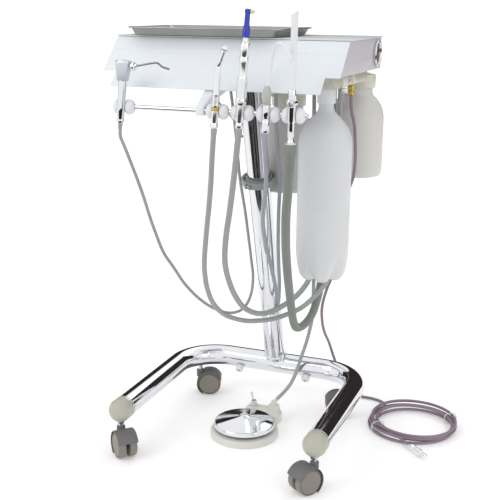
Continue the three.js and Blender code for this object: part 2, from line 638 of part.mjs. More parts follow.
// Cords: plain solids through the listed points.
const cords = [
  ['syringe_hose', 3.3, 8, 24, grayHose, [[-179.7, -226, 739.2], [-180.4, -226, 729], [-181.4, -224.5, 713],
    [-176.5, -220, 695.6], [-167.3, -212, 662.5], [-158.6, -200, 623.9], [-151.1, -186, 581.7],
    [-146, -172, 540.8], [-140.4, -158, 503.9], [-132.4, -138, 457.7], [-119.7, -118, 422.6],
    [-105.1, -88, 375.8], [-82.3, -52, 331.7], [-62, -10, 300], [-46, 40, 280],
    [-38, 95, 278], [-36, 132, 300], [-34, 139, 340], [-34, 128, 380], [-36, 113, 440], [-40, 98, 510],
    [-47, 82, 588], [-47, 64, 660], [-49, 46, 740], [-52, 34, 800], [-52, 32, 837.2]]],
  ['high_speed_hose', 5.3, 8, 32, grayHose, [[20.4, -226, 739.2], [19.5, -226, 727], [14.6, -222, 680.7],
    [8.8, -214, 634.3], [0.6, -204, 586], [-13.4, -186, 522.5], [-27.6, -164, 455.9], [-33.5, -148, 425],
    [-35.7, -132, 391.4], [-33, -108, 351.6], [-22, -82, 321.1], [-7.6, -60, 304.9], [18.2, -38, 294],
    [43.2, -18, 291.6], [67, 0, 293], [94, 16, 302], [124, 30, 318], [153, 41, 348], [174, 47, 378],
    [186, 50, 420], [190, 50, 480], [190, 50, 640], [190, 50, 837.2]]],
  ['low_speed_hose', 5.9, 8, 34, grayHose, [[71.2, -226, 742.2], [70.3, -226, 730], [68, -225, 712],
    [61.6, -218, 674.4], [51.3, -206, 624.7], [38.9, -190, 575.1], [20.7, -166, 509.4], [9.2, -142, 454.7],
    [7.4, -120, 413.2], [12.7, -94, 368.5], [23.1, -68, 335], [40.1, -44, 317], [56, -22, 311.5],
    [74, 0, 316], [92, 18, 327], [112, 33, 345], [130, 44, 372], [142, 51, 410], [147, 54, 470],
    [148, 55, 640], [148, 55, 837.2]]],
  ['saliva_hose', 4.2, 8, 28, ['#9698a5', 0.6, 0], [[123.2, -226, 736.2], [122.8, -226, 725],
    [122.6, -222, 698.9], [121.5, -212, 664.4], [116.7, -198, 628.4], [107.4, -182, 590.6],
    [99.1, -164, 551.6], [95.9, -138, 505], [95, -104, 450], [90, -60, 395], [78, -10, 345], [56, 40, 300],
    [36, 90, 275], [33, 130, 285], [33.5, 137, 330], [34.5, 127, 375], [37, 112, 440], [42, 97, 510],
    [49, 81, 588], [49, 63, 660], [50, 45, 740], [54, 34, 800], [54, 32, 837.2]]],
  ['hve_hose', 8.9, 10, 38, ['#767c73', 0.65, 0], [[173.4, -226, 700], [173.3, -226, 684],
    [170.8, -221, 665], [163.7, -206, 622.5], [155.1, -188, 573.3], [146, -158, 505], [139, -126, 450],
    [133, -92, 396], [127.5, -58, 345], [122.5, -24, 300], [121.5, 2, 279], [128, 32, 276], [138, 56, 292],
    [147, 71, 330], [154, 76, 380], [159, 77, 440], [162, 76, 520], [163, 70, 600], [168, 68, 700],
    [168, 68, 834]]],
  ['foot_hose', 4.3, 8, 20, ['#8d9290', 0.6, 0], [[120.6, 88, 837.2], [120.6, 90, 800], [120.6, 96, 700],
    [120.6, 103, 600], [121, 109, 520], [122, 112, 450], [124, 112, 380],
    [122, 122, 310], [112, 150, 254], [98, 178, 210.6], [84, 192, 165], [74, 184, 128], [66, 178, 96],
    [56, 170, 70], [46, 154, 54], [40, 138, 47.5], [38, 126, 46], [38, 114.6, 46]]],
  ['air_hose', 3.4, 8, 24, ['#7b6a76', 0.6, 0], [[232, -21, 793], [232, -21, 778], [233, -16, 760],
    [236, -4, 735], [237, 5, 700], [235, 20, 655], [226, 42, 615], [210, 54, 575], [192, 67, 510],
    [183, 83, 450], [172, 98, 380],
    [156, 110, 338], [141.6, 130, 292.9], [134, 158, 250], [130, 194, 208.2], [131, 236, 165],
    [136, 262, 122], [146, 278, 80], [158, 290, 42], [170, 300, 14], [186, 305, 4.4], [208, 306, 4.2],
    [232, 304, 4.2], [254, 296, 4.2], [268, 281, 4.2], [271, 263, 4.2], [263, 245.6, 4.2],
    [251.4, 218.5, 4.2]]],
];
cords.forEach(([name, r, sides, spacing, finish, points]) => {
  add(name, sweep(smooth(points, spacing), r, sides), ...finish);
});

// Spare air hose: turns laid on each other on the floor, then the quick-connect plug.
const coilC = [358, 190];
const coilProfile = [
  [77, 0.2], [105, 0.2], [105, 10], [101, 24], [94, 27.4], [84, 27.4], [80, 22], [76.6, 9],
];
add('air_hose_coil', ring(coilProfile, 26).translate(coilC[0], coilC[1], 0), '#7b6a76', 0.6, 0);
const plugDir = [0.72, -0.69, 0];
const plugAt = [371, 74, 8.4];
add('air_plug', aim(lathe([
  [0, 0], [4, 0], [5, 1.5], [5, 9], [8, 10], [8, 18], [6.4, 19], [6.4, 32], [8.2, 33],
  [8.2, 46], [5.5, 47], [5.5, 62], [3.5, 64], [0, 64],
], 12), plugDir, plugAt), ...chrome);

export default group;
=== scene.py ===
import math

import bpy
from mathutils import Matrix, Vector


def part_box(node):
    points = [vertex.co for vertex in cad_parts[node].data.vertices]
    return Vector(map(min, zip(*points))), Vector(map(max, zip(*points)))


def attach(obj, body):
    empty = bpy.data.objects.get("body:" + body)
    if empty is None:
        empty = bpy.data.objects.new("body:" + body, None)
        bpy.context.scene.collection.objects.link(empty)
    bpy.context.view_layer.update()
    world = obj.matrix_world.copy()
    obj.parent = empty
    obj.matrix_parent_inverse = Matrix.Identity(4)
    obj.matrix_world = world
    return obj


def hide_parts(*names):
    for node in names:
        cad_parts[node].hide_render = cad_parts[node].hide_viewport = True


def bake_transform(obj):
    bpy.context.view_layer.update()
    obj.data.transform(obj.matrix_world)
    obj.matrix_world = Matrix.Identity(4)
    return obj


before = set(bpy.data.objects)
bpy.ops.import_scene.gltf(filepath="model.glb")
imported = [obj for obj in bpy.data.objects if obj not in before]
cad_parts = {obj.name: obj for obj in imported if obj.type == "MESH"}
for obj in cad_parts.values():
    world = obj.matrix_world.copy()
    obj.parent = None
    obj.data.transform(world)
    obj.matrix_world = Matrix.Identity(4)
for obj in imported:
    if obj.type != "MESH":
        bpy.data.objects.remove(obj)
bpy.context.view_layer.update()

mm = 0.001
still = Matrix.Identity(4)

# Cart coordinates have x = 0 on the column; the frame's own boxes give the shift to the row's origin.
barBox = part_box("holder_bar")
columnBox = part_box("column_tube")
cart = dict(barY=-0.2103)
shift = Vector((
    (columnBox[0].x + columnBox[1].x) / 2,
    (barBox[0].y + barBox[1].y) / 2 - cart["barY"],
    0,
))


def at(x, y, z):  # millimetres in cart coordinates to a point in the frame
    return Vector((x, y, z)) * mm + shift


def toward(direction, place=Vector((0, 0, 0))):  # turns +Z to the direction, then moves to the place
    turn = Vector((0, 0, 1)).rotation_difference(Vector(direction).normalized())
    return Matrix.Translation(place) @ turn.to_matrix().to_4x4()


def nudge(x, y, z):
    return Vector((x, y, z)) * mm


# Finishes: a wired socket does arithmetic, and each finish is one small node tree.
class Wire:
    def __init__(self, tree, socket):
        self.tree = tree
        self.socket = socket

    def sum(self, kind, other, swapped=False):
        node = self.tree.nodes.new("ShaderNodeMath")
        node.operation = kind
        pair = (other, self) if swapped else (self, other)
        for slot, value in zip(node.inputs, pair):
            plug(self.tree, slot, value)
        return Wire(self.tree, node.outputs[0])

    def __add__(self, other):
        return self.sum("ADD", other)

    def __radd__(self, other):
        return self.sum("ADD", other, True)

    def __sub__(self, other):
        return self.sum("SUBTRACT", other)

    def __rsub__(self, other):
        return self.sum("SUBTRACT", other, True)

    def __mul__(self, other):
        return self.sum("MULTIPLY", other)

    def __rmul__(self, other):
        return self.sum("MULTIPLY", other, True)

    def __gt__(self, other):
        return self.sum("GREATER_THAN", other)

    def __lt__(self, other):
        return self.sum("LESS_THAN", other)

    def atMost(self, other):
        return self.sum("MINIMUM", other)


def plug(tree, slot, value):
    if isinstance(value, Wire):
        tree.links.new(value.socket, slot)
    else:
        slot.default_value = value


class Shade:
    def __init__(self, tree):
        self.tree = tree

    def node(self, kind, settings=None, sockets=None, output=0):
        made = self.tree.nodes.new("ShaderNode" + kind)
        settings = settings or {}
        for name, value in settings.items():
            if name != "stops":
                setattr(made, name, value)
        for i, (place, shade) in enumerate(settings.get("stops", ())):
            stop = made.color_ramp.elements[i] if i < 2 else made.color_ramp.elements.new(place)
            stop.position = place
            stop.color = (*shade, 1) if len(shade) == 3 else shade
        for name, value in (sockets or {}).items():
            plug(self.tree, made.inputs[name], value)
        return Wire(self.tree, made.outputs[output])

    def grain(self, scale, stretch=(1, 1, 1), detail=2.0):  # noise on the object's own metres
        place = self.node("TexCoord", output="Object")
        spread = self.node("Mapping", None, {"Vector": place, "Scale": stretch})
        return self.node("TexNoise", None, {"Vector": spread, "Scale": scale, "Detail": detail})

    def between(self, share, first, second):
        mix = self.tree.nodes.new("ShaderNodeMix")
        mix.data_type = "RGBA"
        plug(self.tree, mix.inputs[0], share)
        plug(self.tree, mix.inputs[6], (*first, 1) if isinstance(first, tuple) else first)
        plug(self.tree, mix.inputs[7], (*second, 1) if isinstance(second, tuple) else second)
        return Wire(self.tree, mix.outputs[2])


def finish(name, tone, worn, rough, spread=0.08, metal=0.0, patch=9, grain=(700, 0.02), stretch=(1, 1, 1),
    **fixed):
    material = bpy.data.materials.new(name)
    material.use_nodes = True
    shader = material.node_tree.nodes["Principled BSDF"]
    shade = Shade(material.node_tree)
    cloud = shade.grain(patch)  # slow change of tone over the piece
    fine = shade.grain(grain[0], stretch)  # moulding texture, brush lines or orange peel
    plug(shade.tree, shader.inputs["Base Color"], shade.between(cloud, tone, worn))
    plug(shade.tree, shader.inputs["Roughness"], rough - spread / 2 + cloud * spread + (fine - 0.5) * 0.03)
    bump = shade.node("Bump", None, {"Strength": grain[1], "Distance": mm * 0.4, "Height": fine})
    plug(shade.tree, shader.inputs["Normal"], bump)
    shader.inputs["Metallic"].default_value = metal
    for socket, value in fixed.items():
        shader.inputs[socket.replace("_", " ")].default_value = value
    return material


finishes = dict(
    chrome=finish("polishedChrome", (0.80, 0.81, 0.83), (0.74, 0.75, 0.78), 0.06, 0.05, 1, 30,
        (900, 0.006)),
    steel=finish("satinSteel", (0.70, 0.71, 0.72), (0.62, 0.63, 0.65), 0.26, 0.08, 1, 40, (420, 0.05),
        (1, 1, 0.06)),
    bright=finish("brightSteel", (0.86, 0.87, 0.88), (0.80, 0.81, 0.82), 0.24, 0.06, 1, 40, (420, 0.02),
        (1, 1, 0.06)),
    trayMetal=finish("trayMetal", (0.42, 0.41, 0.39), (0.33, 0.32, 0.30), 0.16, 0.08, 1, 14, (300, 0.03),
        (1, 0.05, 1)),
    whitePaint=finish("whitePaint", (0.80, 0.835, 0.87), (0.77, 0.805, 0.845), 0.38, 0.06, 0, 6,
        (520, 0.05)),
    sidePaint=finish("sidePaint", (0.60, 0.565, 0.60), (0.56, 0.53, 0.57), 0.42, 0.06, 0, 6, (520, 0.05)),
    coverPaint=finish("coverPaint", (0.72, 0.73, 0.74), (0.68, 0.69, 0.71), 0.32, 0.06, 0, 6, (520, 0.04)),
    whitePlastic=finish("whitePlastic", (0.80, 0.815, 0.84), (0.76, 0.775, 0.80), 0.4, 0.1, 0, 60,
        (800, 0.04)),
    creamPlastic=finish("creamPlastic", (0.72, 0.71, 0.66), (0.66, 0.65, 0.60), 0.38, 0.1, 0, 40,
        (700, 0.04)),
    ballPlastic=finish("ballPlastic", (0.48, 0.48, 0.40), (0.44, 0.44, 0.37), 0.36, 0.08, 0, 40,
        (800, 0.03)),
    collarPlastic=finish("collarPlastic", (0.31, 0.33, 0.315), (0.27, 0.285, 0.275), 0.4, 0.08, 0, 50,
        (700, 0.05)),
    hoodPlastic=finish("hoodPlastic", (0.155, 0.155, 0.155), (0.13, 0.13, 0.132), 0.5, 0.08, 0, 50,
        (900, 0.08)),
    wheelPlastic=finish("wheelPlastic", (0.235, 0.21, 0.18), (0.21, 0.19, 0.165), 0.42, 0.08, 0, 50,
        (900, 0.05)),
    tyreRubber=finish("tyreRubber", (0.03, 0.03, 0.03), (0.05, 0.05, 0.05), 0.6, 0.1, 0, 70, (900, 0.1)),
    bottlePlastic=finish("bottlePlastic", (0.83, 0.845, 0.86), (0.78, 0.795, 0.81), 0.4, 0.1, 0, 7,
        (260, 0.05),
        Subsurface_Weight=0.3, Subsurface_Radius=(1, 1, 1), Subsurface_Scale=0.012),
    jugPlastic=finish("jugPlastic", (0.78, 0.77, 0.735), (0.72, 0.71, 0.68), 0.4, 0.1, 0, 7, (260, 0.05),
        Subsurface_Weight=0.3, Subsurface_Radius=(1, 1, 1), Subsurface_Scale=0.012),
    hoseGray=finish("hoseGray", (0.36, 0.375, 0.365), (0.32, 0.335, 0.325), 0.42, 0.1, 0, 24, (600, 0.06)),
    hoseBlueGray=finish("hoseBlueGray", (0.36, 0.37, 0.42), (0.32, 0.33, 0.38), 0.42, 0.1, 0, 24,
        (600, 0.06)),
    hoseDark=finish("hoseDark", (0.22, 0.24, 0.215), (0.19, 0.205, 0.185), 0.5, 0.1, 0, 24, (600, 0.08)),
    hoseMauve=finish("hoseMauve", (0.27, 0.20, 0.25), (0.22, 0.165, 0.205), 0.32, 0.1, 0, 24, (600, 0.05)),
    blackPlastic=finish("blackPlastic", (0.02, 0.02, 0.022), (0.035, 0.035, 0.037), 0.35, 0.1, 0, 60,
        (800, 0.04)),
    blastedSteel=finish("blastedSteel", (0.60, 0.64, 0.68), (0.54, 0.58, 0.62), 0.42, 0.08, 0.6, 60,
        (900, 0.08)),
    darkSteel=finish("darkSteel", (0.26, 0.25, 0.23), (0.20, 0.19, 0.18), 0.2, 0.08, 1, 60, (700, 0.03)),
    greyPlastic=finish("greyPlastic", (0.50, 0.50, 0.48), (0.44, 0.44, 0.42), 0.35, 0.1, 0, 60,
        (700, 0.04)),
    bluePlastic=finish("bluePlastic", (0.022, 0.035, 0.40), (0.03, 0.05, 0.47), 0.3, 0.1, 0, 80,
        (800, 0.03)),
    cupRubber=finish("cupRubber", (0.75, 0.68, 0.36), (0.70, 0.62, 0.30), 0.5, 0.1, 0, 90, (800, 0.05)),
    brass=finish("brass", (0.72, 0.50, 0.13), (0.55, 0.36, 0.08), 0.2, 0.12, 1, 90, (700, 0.04)),
    clearBeige=finish("clearBeige", (0.68, 0.66, 0.58), (0.60, 0.58, 0.50), 0.25, 0.1, 0, 60, (500, 0.04),
        Subsurface_Weight=0.2, Subsurface_Radius=(1, 0.9, 0.7), Subsurface_Scale=0.008),
    tieNylon=finish("tieNylon", (0.75, 0.74, 0.72), (0.66, 0.65, 0.63), 0.4, 0.1, 0, 80, (900, 0.04)),
    dialCard=finish("dialCard", (0.10, 0.06, 0.045), (0.06, 0.035, 0.03), 0.45, 0.1, 0.3, 30, (500, 0.02)),
)
print("finishes", len(finishes))


# Modelling helpers
def onlyThis(obj):
    bpy.ops.object.select_all(action="DESELECT")
    obj.select_set(True)
    bpy.context.view_layer.objects.active = obj


def applied(obj, kind, **settings):
    onlyThis(obj)
    modifier = obj.modifiers.new(kind.lower(), kind)
    for name, value in settings.items():
        setattr(modifier, name, value)
    bpy.ops.object.modifier_apply(modifier=modifier.name)
    return obj


def soften(obj, width=0.0, segments=2, angle=30):  # rounded edges, then smooth faces between them
    if width:
        applied(obj, "BEVEL", width=width * mm, segments=segments, limit_method="ANGLE",
            angle_limit=math.radians(angle))
    onlyThis(obj)
    bpy.ops.object.shade_smooth_by_angle(angle=math.radians(38))
    return obj


def seated(obj, place):  # its place goes into its mesh
    obj.matrix_world = place
    onlyThis(obj)
    bpy.ops.object.transform_apply(location=True, rotation=True, scale=True)
    return obj


def joined(parts):
    onlyThis(parts[0])
    for part in parts[1:]:
        part.select_set(True)
    bpy.ops.object.join()
    return bpy.context.object


def settle(obj, name, body, coat, stands=()):
    obj.name = name
    obj.data.name = name
    obj.data.materials.clear()
    obj.data.materials.append(finishes[coat])
    if body:
        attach(obj, body)
    if stands:
        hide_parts(*stands)
    return obj


def outline(points):  # one vertex extruded along the points, left in edit mode
    bpy.ops.object.select_all(action="DESELECT")
    bpy.ops.mesh.primitive_plane_add(size=mm)
    bpy.ops.object.mode_set(mode="EDIT")
    bpy.ops.mesh.select_all(action="SELECT")
    bpy.ops.mesh.merge(type="CENTER")
    last = Vector((0, 0, 0))
    for i, point in enumerate(points):
        step = Vector(point) * mm - last
        last = last + step
        if i == 0:
            bpy.ops.transform.translate(value=step)
        else:
            bpy.ops.mesh.extrude_region_move(TRANSFORM_OT_translate={"value": step})
    return bpy.context.object


def turned(profile, place=still, steps=48, arc=360, bevel=0.0):  # [radius, height] pairs spun about +Z
    obj = outline([(r, 0, z) for r, z in profile])
    bpy.ops.mesh.select_all(action="SELECT")
    bpy.ops.mesh.spin(steps=steps, angle=math.radians(arc), center=(0, 0, 0), axis=(0, 0, 1))
    bpy.ops.mesh.select_all(action="SELECT")
    bpy.ops.mesh.remove_doubles(threshold=mm * 0.002)
    if arc < 360:
        bpy.ops.mesh.select_all(action="DESELECT")
        bpy.ops.mesh.select_non_manifold()
        bpy.ops.mesh.edge_face_add()
        bpy.ops.mesh.select_all(action="SELECT")
    bpy.ops.mesh.normals_make_consistent(inside=False)
    bpy.ops.object.mode_set(mode="OBJECT")
    return soften(seated(obj, place), bevel)


def hoop(profile, place=still, steps=48, bevel=0.0):  # a closed loop of radius and height, spun about +Z
    return turned([*profile, profile[0]], place, steps, 360, bevel)


def block(low, high, bevel=0.6, segments=2, place=still):  # corners in millimetres
    size = [b - a for a, b in zip(low, high)]
    middle = nudge(*[(a + b) / 2 for a, b in zip(low, high)])
    bpy.ops.object.select_all(action="DESELECT")
    bpy.ops.mesh.primitive_cube_add(size=mm, location=(0, 0, 0))
    obj = bpy.context.object
    obj.scale = size
    onlyThis(obj)
    bpy.ops.object.transform_apply(location=True, rotation=True, scale=True)
    return soften(seated(obj, place @ Matrix.Translation(middle)), bevel, segments)


def knob(radii, centre, place=still, rings=24):  # a rounded ball pressed from a sphere
    bpy.ops.object.select_all(action="DESELECT")
    bpy.ops.mesh.primitive_uv_sphere_add(segments=rings * 2, ring_count=rings, radius=mm)
    obj = bpy.context.object
    obj.scale = radii
    onlyThis(obj)
    bpy.ops.object.transform_apply(location=True, rotation=True, scale=True)
    return soften(seated(obj, place @ Matrix.Translation(nudge(*centre))))


def cut(obj, tool, kind="DIFFERENCE"):
    applied(obj, "BOOLEAN", operation=kind, object=tool, solver="EXACT")
    bpy.data.objects.remove(tool)
    return obj


def along(points, radius, sides=16, radii=None):  # a round tube through the points, in metres
    line = bpy.data.curves.new("line", "CURVE")
    line.dimensions = "3D"
    spline = line.splines.new("POLY")
    spline.points.add(len(points) - 1)
    for i, point in enumerate(points):
        spline.points[i].co = (*point, 1)
        spline.points[i].radius = radii[i] if radii else 1
    line.bevel_depth = radius * mm
    line.bevel_resolution = (sides - 4) // 2
    line.use_fill_caps = True
    line.twist_mode = "MINIMUM"
    obj = bpy.data.objects.new("tube", line)
    bpy.context.scene.collection.objects.link(obj)
    onlyThis(obj)
    bpy.ops.object.convert(target="MESH")
    obj = bpy.context.object
    bpy.ops.object.mode_set(mode="EDIT")
    bpy.ops.mesh.select_all(action="SELECT")
    bpy.ops.mesh.remove_doubles(threshold=mm * 0.002)
    bpy.ops.mesh.normals_make_consistent(inside=False)
    bpy.ops.object.mode_set(mode="OBJECT")
    return soften(obj)


def flowing(points, spacing):  # centripetal Catmull-Rom points, the spacing in metres
    knots = [Vector(p) for p in points]
    knots = [2 * knots[0] - knots[1], *knots, 2 * knots[-1] - knots[-2]]
    made = []
    for a, b, c, d in zip(knots, knots[1:], knots[2:], knots[3:]):
        first, middle, final = [(q - p).length ** 0.5 for p, q in ((a, b), (b, c), (c, d))]
        leave = ((b - a) / first - (c - a) / (first + middle) + (c - b) / middle) * middle
        arrive = ((c - b) / middle - (d - b) / (middle + final) + (d - c) / final) * middle
        count = max(2, round((c - b).length / spacing))
        for i in range(count):
            t = i / count
            made.append(b * (2 * t ** 3 - 3 * t * t + 1) + leave * (t ** 3 - 2 * t * t + t)
                + c * (3 * t * t - 2 * t ** 3) + arrive * (t ** 3 - t * t))
    return [*made, knots[-2]]


def pathLength(points):
    return sum((b - a).length for a, b in zip(points, points[1:]))


def refined(node, width=0.5, segments=2):  # a merged copy of a plain CAD solid with rounded edges
    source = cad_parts[node]
    obj = bpy.data.objects.new(node, source.data.copy())
    bpy.context.scene.collection.objects.link(obj)
    onlyThis(obj)
    bpy.ops.object.mode_set(mode="EDIT")
    bpy.ops.mesh.select_all(action="SELECT")
    bpy.ops.mesh.remove_doubles(threshold=mm * 0.01)
    bpy.ops.mesh.dissolve_limited(angle_limit=math.radians(0.5))
    bpy.ops.object.mode_set(mode="OBJECT")
    return soften(obj, width, segments, 32)


# Camera, floor and light
view = dict(place=(712.92, -1854.0, 969.64), yaw=20.755, pitch=-14.814, roll=0.55, lens=67.1)
lens = bpy.data.cameras.new("camera")
camera = bpy.data.objects.new("camera", lens)
bpy.context.scene.collection.objects.link(camera)
lens.lens = view["lens"]
lens.sensor_width = 36
turn = Matrix.Rotation(math.radians(view["yaw"]), 4, "Z")
turn = turn @ Matrix.Rotation(math.radians(90 + view["pitch"]), 4, "X")
roll = Matrix.Rotation(math.radians(view["roll"]), 4, "Z")
camera.matrix_world = Matrix.Translation(at(*view["place"])) @ turn @ roll
bpy.context.scene.camera = camera

studio = dict(floorSize=3.4, floorMiddle=1.23, floorTone=0.95, glow=0.16, room=0.86, key=24, fill=10,
    back=8)
bpy.ops.object.select_all(action="DESELECT")
bpy.ops.mesh.primitive_plane_add(size=studio["floorSize"], location=(0, studio["floorMiddle"], 0))
floor = bpy.context.object
floor.name = "floor"
tone = (studio["floorTone"],) * 3
floor.data.materials.append(finish("paper", tone, tone, 0.9, Specular_IOR_Level=0.1,
    Emission_Color=(1, 1, 1, 1), Emission_Strength=studio["glow"]))


def lamp(name, place, target, size, power):
    data = bpy.data.lights.new(name, "AREA")
    data.shape = "RECTANGLE"
    data.size, data.size_y = size
    data.energy = power
    obj = bpy.data.objects.new(name, data)
    bpy.context.scene.collection.objects.link(obj)
    aim = (Vector(target) - Vector(place)).normalized()
    obj.matrix_world = Matrix.Translation(place) @ aim.to_track_quat("-Z", "Y").to_matrix().to_4x4()
    return obj


lamp("keyLight", (-2.0, -2.2, 2.6), (0, 0, 0.5), (1.8, 1.8), studio["key"])
lamp("fillLight", (2.6, -1.4, 1.8), (0, 0, 0.5), (1.6, 2.2), studio["fill"])
lamp("backLight", (0.4, 2.6, 2.6), (0, 0, 0.6), (2.4, 1.4), studio["back"])

# White room for the eye and the floor, dark panels in front and behind for the chrome to mirror.
world = bpy.data.worlds.new("studio")
bpy.context.scene.world = world
world.use_nodes = True
sky = Shade(world.node_tree)
panel = dict(frontEdge=0.45, frontTop=-0.24, backEdge=0.35, backLow=-0.1, backTop=0.5,
    tone=(0.03, 0.024, 0.022))
direction = sky.node("TexCoord", output="Generated")
side = sky.node("SeparateXYZ", None, {"Vector": direction}, "X")
depth = sky.node("SeparateXYZ", None, {"Vector": direction}, "Y")
rise = sky.node("SeparateXYZ", None, {"Vector": direction}, "Z")
facing = side * 0.25 - depth * 0.97
front = (facing > panel["frontEdge"]) * (rise < panel["frontTop"])
rear = (depth > panel["backEdge"]) * (rise > panel["backLow"]) * (rise < panel["backTop"])
dark = (front + rear).atMost(1)
glossy = sky.node("LightPath", output="Is Glossy Ray")
seen = sky.node("LightPath", output="Is Camera Ray")
room = studio["room"] + seen * 0.3
background = world.node_tree.nodes["Background"]
plug(world.node_tree, background.inputs["Color"], sky.between(dark * glossy, (1, 1, 1), panel["tone"]))
plug(world.node_tree, background.inputs["Strength"], room * (1 - glossy) + 1.05 * glossy)
bpy.context.scene.view_settings.view_transform = "Standard"
print("camera, floor and light")


# Hoses: each follows its own list of points, in metres in cart coordinates.
hoses = dict(
    syringe=dict(node="syringe_hose", body="syringe", radius=3.3, coat="hoseGray", slot="hose_gray", route=(
        (-0.1797, -0.226, 0.7392), (-0.1804, -0.226, 0.729), (-0.1814, -0.2245, 0.713),
        (-0.1765, -0.22, 0.6956), (-0.1673, -0.212, 0.6625), (-0.1586, -0.2, 0.6239),
        (-0.1511, -0.186, 0.5817), (-0.146, -0.172, 0.5408), (-0.1404, -0.158, 0.5039),
        (-0.1324, -0.138, 0.4577), (-0.1197, -0.118, 0.4226), (-0.1051, -0.088, 0.3758),
        (-0.0823, -0.052, 0.3317), (-0.062, -0.01, 0.3), (-0.046, 0.04, 0.28), (-0.038, 0.095, 0.278),
        (-0.036, 0.132, 0.3), (-0.034, 0.139, 0.34), (-0.034, 0.128, 0.38), (-0.036, 0.113, 0.44),
        (-0.04, 0.098, 0.51), (-0.047, 0.082, 0.588), (-0.047, 0.064, 0.66), (-0.049, 0.046, 0.74),
        (-0.052, 0.034, 0.8), (-0.052, 0.032, 0.8372),
    )),
    highSpeed=dict(node="high_speed_hose", body="high_speed", radius=5.3, coat="hoseGray", slot="hose_gray",
        route=(
        (0.0204, -0.226, 0.7392), (0.0195, -0.226, 0.727), (0.0146, -0.222, 0.6807),
        (0.0088, -0.214, 0.6343), (0.0006, -0.204, 0.586), (-0.0134, -0.186, 0.5225),
        (-0.0276, -0.164, 0.4559), (-0.0335, -0.148, 0.425), (-0.0357, -0.132, 0.3914),
        (-0.033, -0.108, 0.3516), (-0.022, -0.082, 0.3211), (-0.0076, -0.06, 0.3049),
        (0.0182, -0.038, 0.294), (0.0432, -0.018, 0.2916), (0.067, 0, 0.293), (0.094, 0.016, 0.302),
        (0.124, 0.03, 0.318), (0.153, 0.041, 0.348), (0.174, 0.047, 0.378), (0.186, 0.05, 0.42),
        (0.19, 0.05, 0.48), (0.19, 0.05, 0.64), (0.19, 0.05, 0.8372),
    )),
    lowSpeed=dict(node="low_speed_hose", body="low_speed", radius=5.9, coat="hoseGray", slot="hose_gray",
        route=(
        (0.0712, -0.226, 0.7422), (0.0703, -0.226, 0.73), (0.068, -0.225, 0.712),
        (0.0616, -0.218, 0.6744), (0.0513, -0.206, 0.6247), (0.0389, -0.19, 0.5751),
        (0.0207, -0.166, 0.5094), (0.0092, -0.142, 0.4547), (0.0074, -0.12, 0.4132),
        (0.0127, -0.094, 0.3685), (0.0231, -0.068, 0.335), (0.0401, -0.044, 0.317),
        (0.056, -0.022, 0.3115), (0.074, 0, 0.316), (0.092, 0.018, 0.327), (0.112, 0.033, 0.345),
        (0.13, 0.044, 0.372), (0.142, 0.051, 0.41), (0.147, 0.054, 0.47), (0.148, 0.055, 0.64),
        (0.148, 0.055, 0.8372),
    )),
    saliva=dict(node="saliva_hose", body="saliva_valve", radius=4.2, coat="hoseBlueGray",
        slot="hose_blue_gray", route=(
        (0.1232, -0.226, 0.7362), (0.1228, -0.226, 0.725), (0.1226, -0.222, 0.6989),
        (0.1215, -0.212, 0.6644), (0.1167, -0.198, 0.6284), (0.1074, -0.182, 0.5906),
        (0.0991, -0.164, 0.5516), (0.0959, -0.138, 0.505), (0.095, -0.104, 0.45), (0.09, -0.06, 0.395),
        (0.078, -0.01, 0.345), (0.056, 0.04, 0.3), (0.036, 0.09, 0.275), (0.033, 0.13, 0.285),
        (0.0335, 0.137, 0.33), (0.0345, 0.127, 0.375), (0.037, 0.112, 0.44), (0.042, 0.097, 0.51),
        (0.049, 0.081, 0.588), (0.049, 0.063, 0.66), (0.05, 0.045, 0.74), (0.054, 0.034, 0.8),
        (0.054, 0.032, 0.8372),
    )),
    suction=dict(node="hve_hose", body="hve_valve", radius=8.9, coat="hoseDark", slot="hose_dark", route=(
        (0.1734, -0.226, 0.7), (0.1733, -0.226, 0.684), (0.1708, -0.221, 0.665),
        (0.1637, -0.206, 0.6225), (0.1551, -0.188, 0.5733), (0.146, -0.158, 0.505),
        (0.139, -0.126, 0.45), (0.133, -0.092, 0.396), (0.1275, -0.058, 0.345), (0.1225, -0.024, 0.3),
        (0.1215, 0.002, 0.279), (0.128, 0.032, 0.276), (0.138, 0.056, 0.292), (0.147, 0.071, 0.33),
        (0.154, 0.076, 0.38), (0.159, 0.077, 0.44), (0.162, 0.076, 0.52), (0.163, 0.07, 0.6),
        (0.168, 0.068, 0.7), (0.168, 0.068, 0.834),
    )),
    foot=dict(node="foot_hose", body=None, radius=4.3, coat="hoseGray", slot="hose_gray", route=(
        (0.1206, 0.088, 0.8372), (0.1206, 0.09, 0.8), (0.1206, 0.096, 0.7), (0.1206, 0.103, 0.6),
        (0.121, 0.109, 0.52), (0.122, 0.112, 0.45), (0.124, 0.112, 0.38), (0.122, 0.122, 0.31),
        (0.112, 0.15, 0.254), (0.098, 0.178, 0.2106), (0.084, 0.192, 0.165), (0.074, 0.184, 0.128),
        (0.066, 0.178, 0.096), (0.056, 0.17, 0.07), (0.046, 0.154, 0.054), (0.04, 0.138, 0.0475),
        (0.038, 0.126, 0.046), (0.038, 0.1146, 0.046),
    )),
)
follow = dict(spacing=0.006, still=0.17, moved=0.015)  # metres: point spacing, rests past, moves within
for name, hose in hoses.items():
    points = flowing([Vector(p) + shift for p in hose["route"]], follow["spacing"])
    tube = settle(along(points, hose["radius"], 20), hose["node"].replace("_hose", "") + "_tubing", None,
        hose["coat"], [hose["node"]])
    if hose["body"]:
        points[0] + Vector((0, follow["still"], 0))
        points[0] + Vector((0, follow["moved"], 0))
        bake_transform(tube)
    else:
        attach(tube, "cart")
    round(pathLength(points), 3)

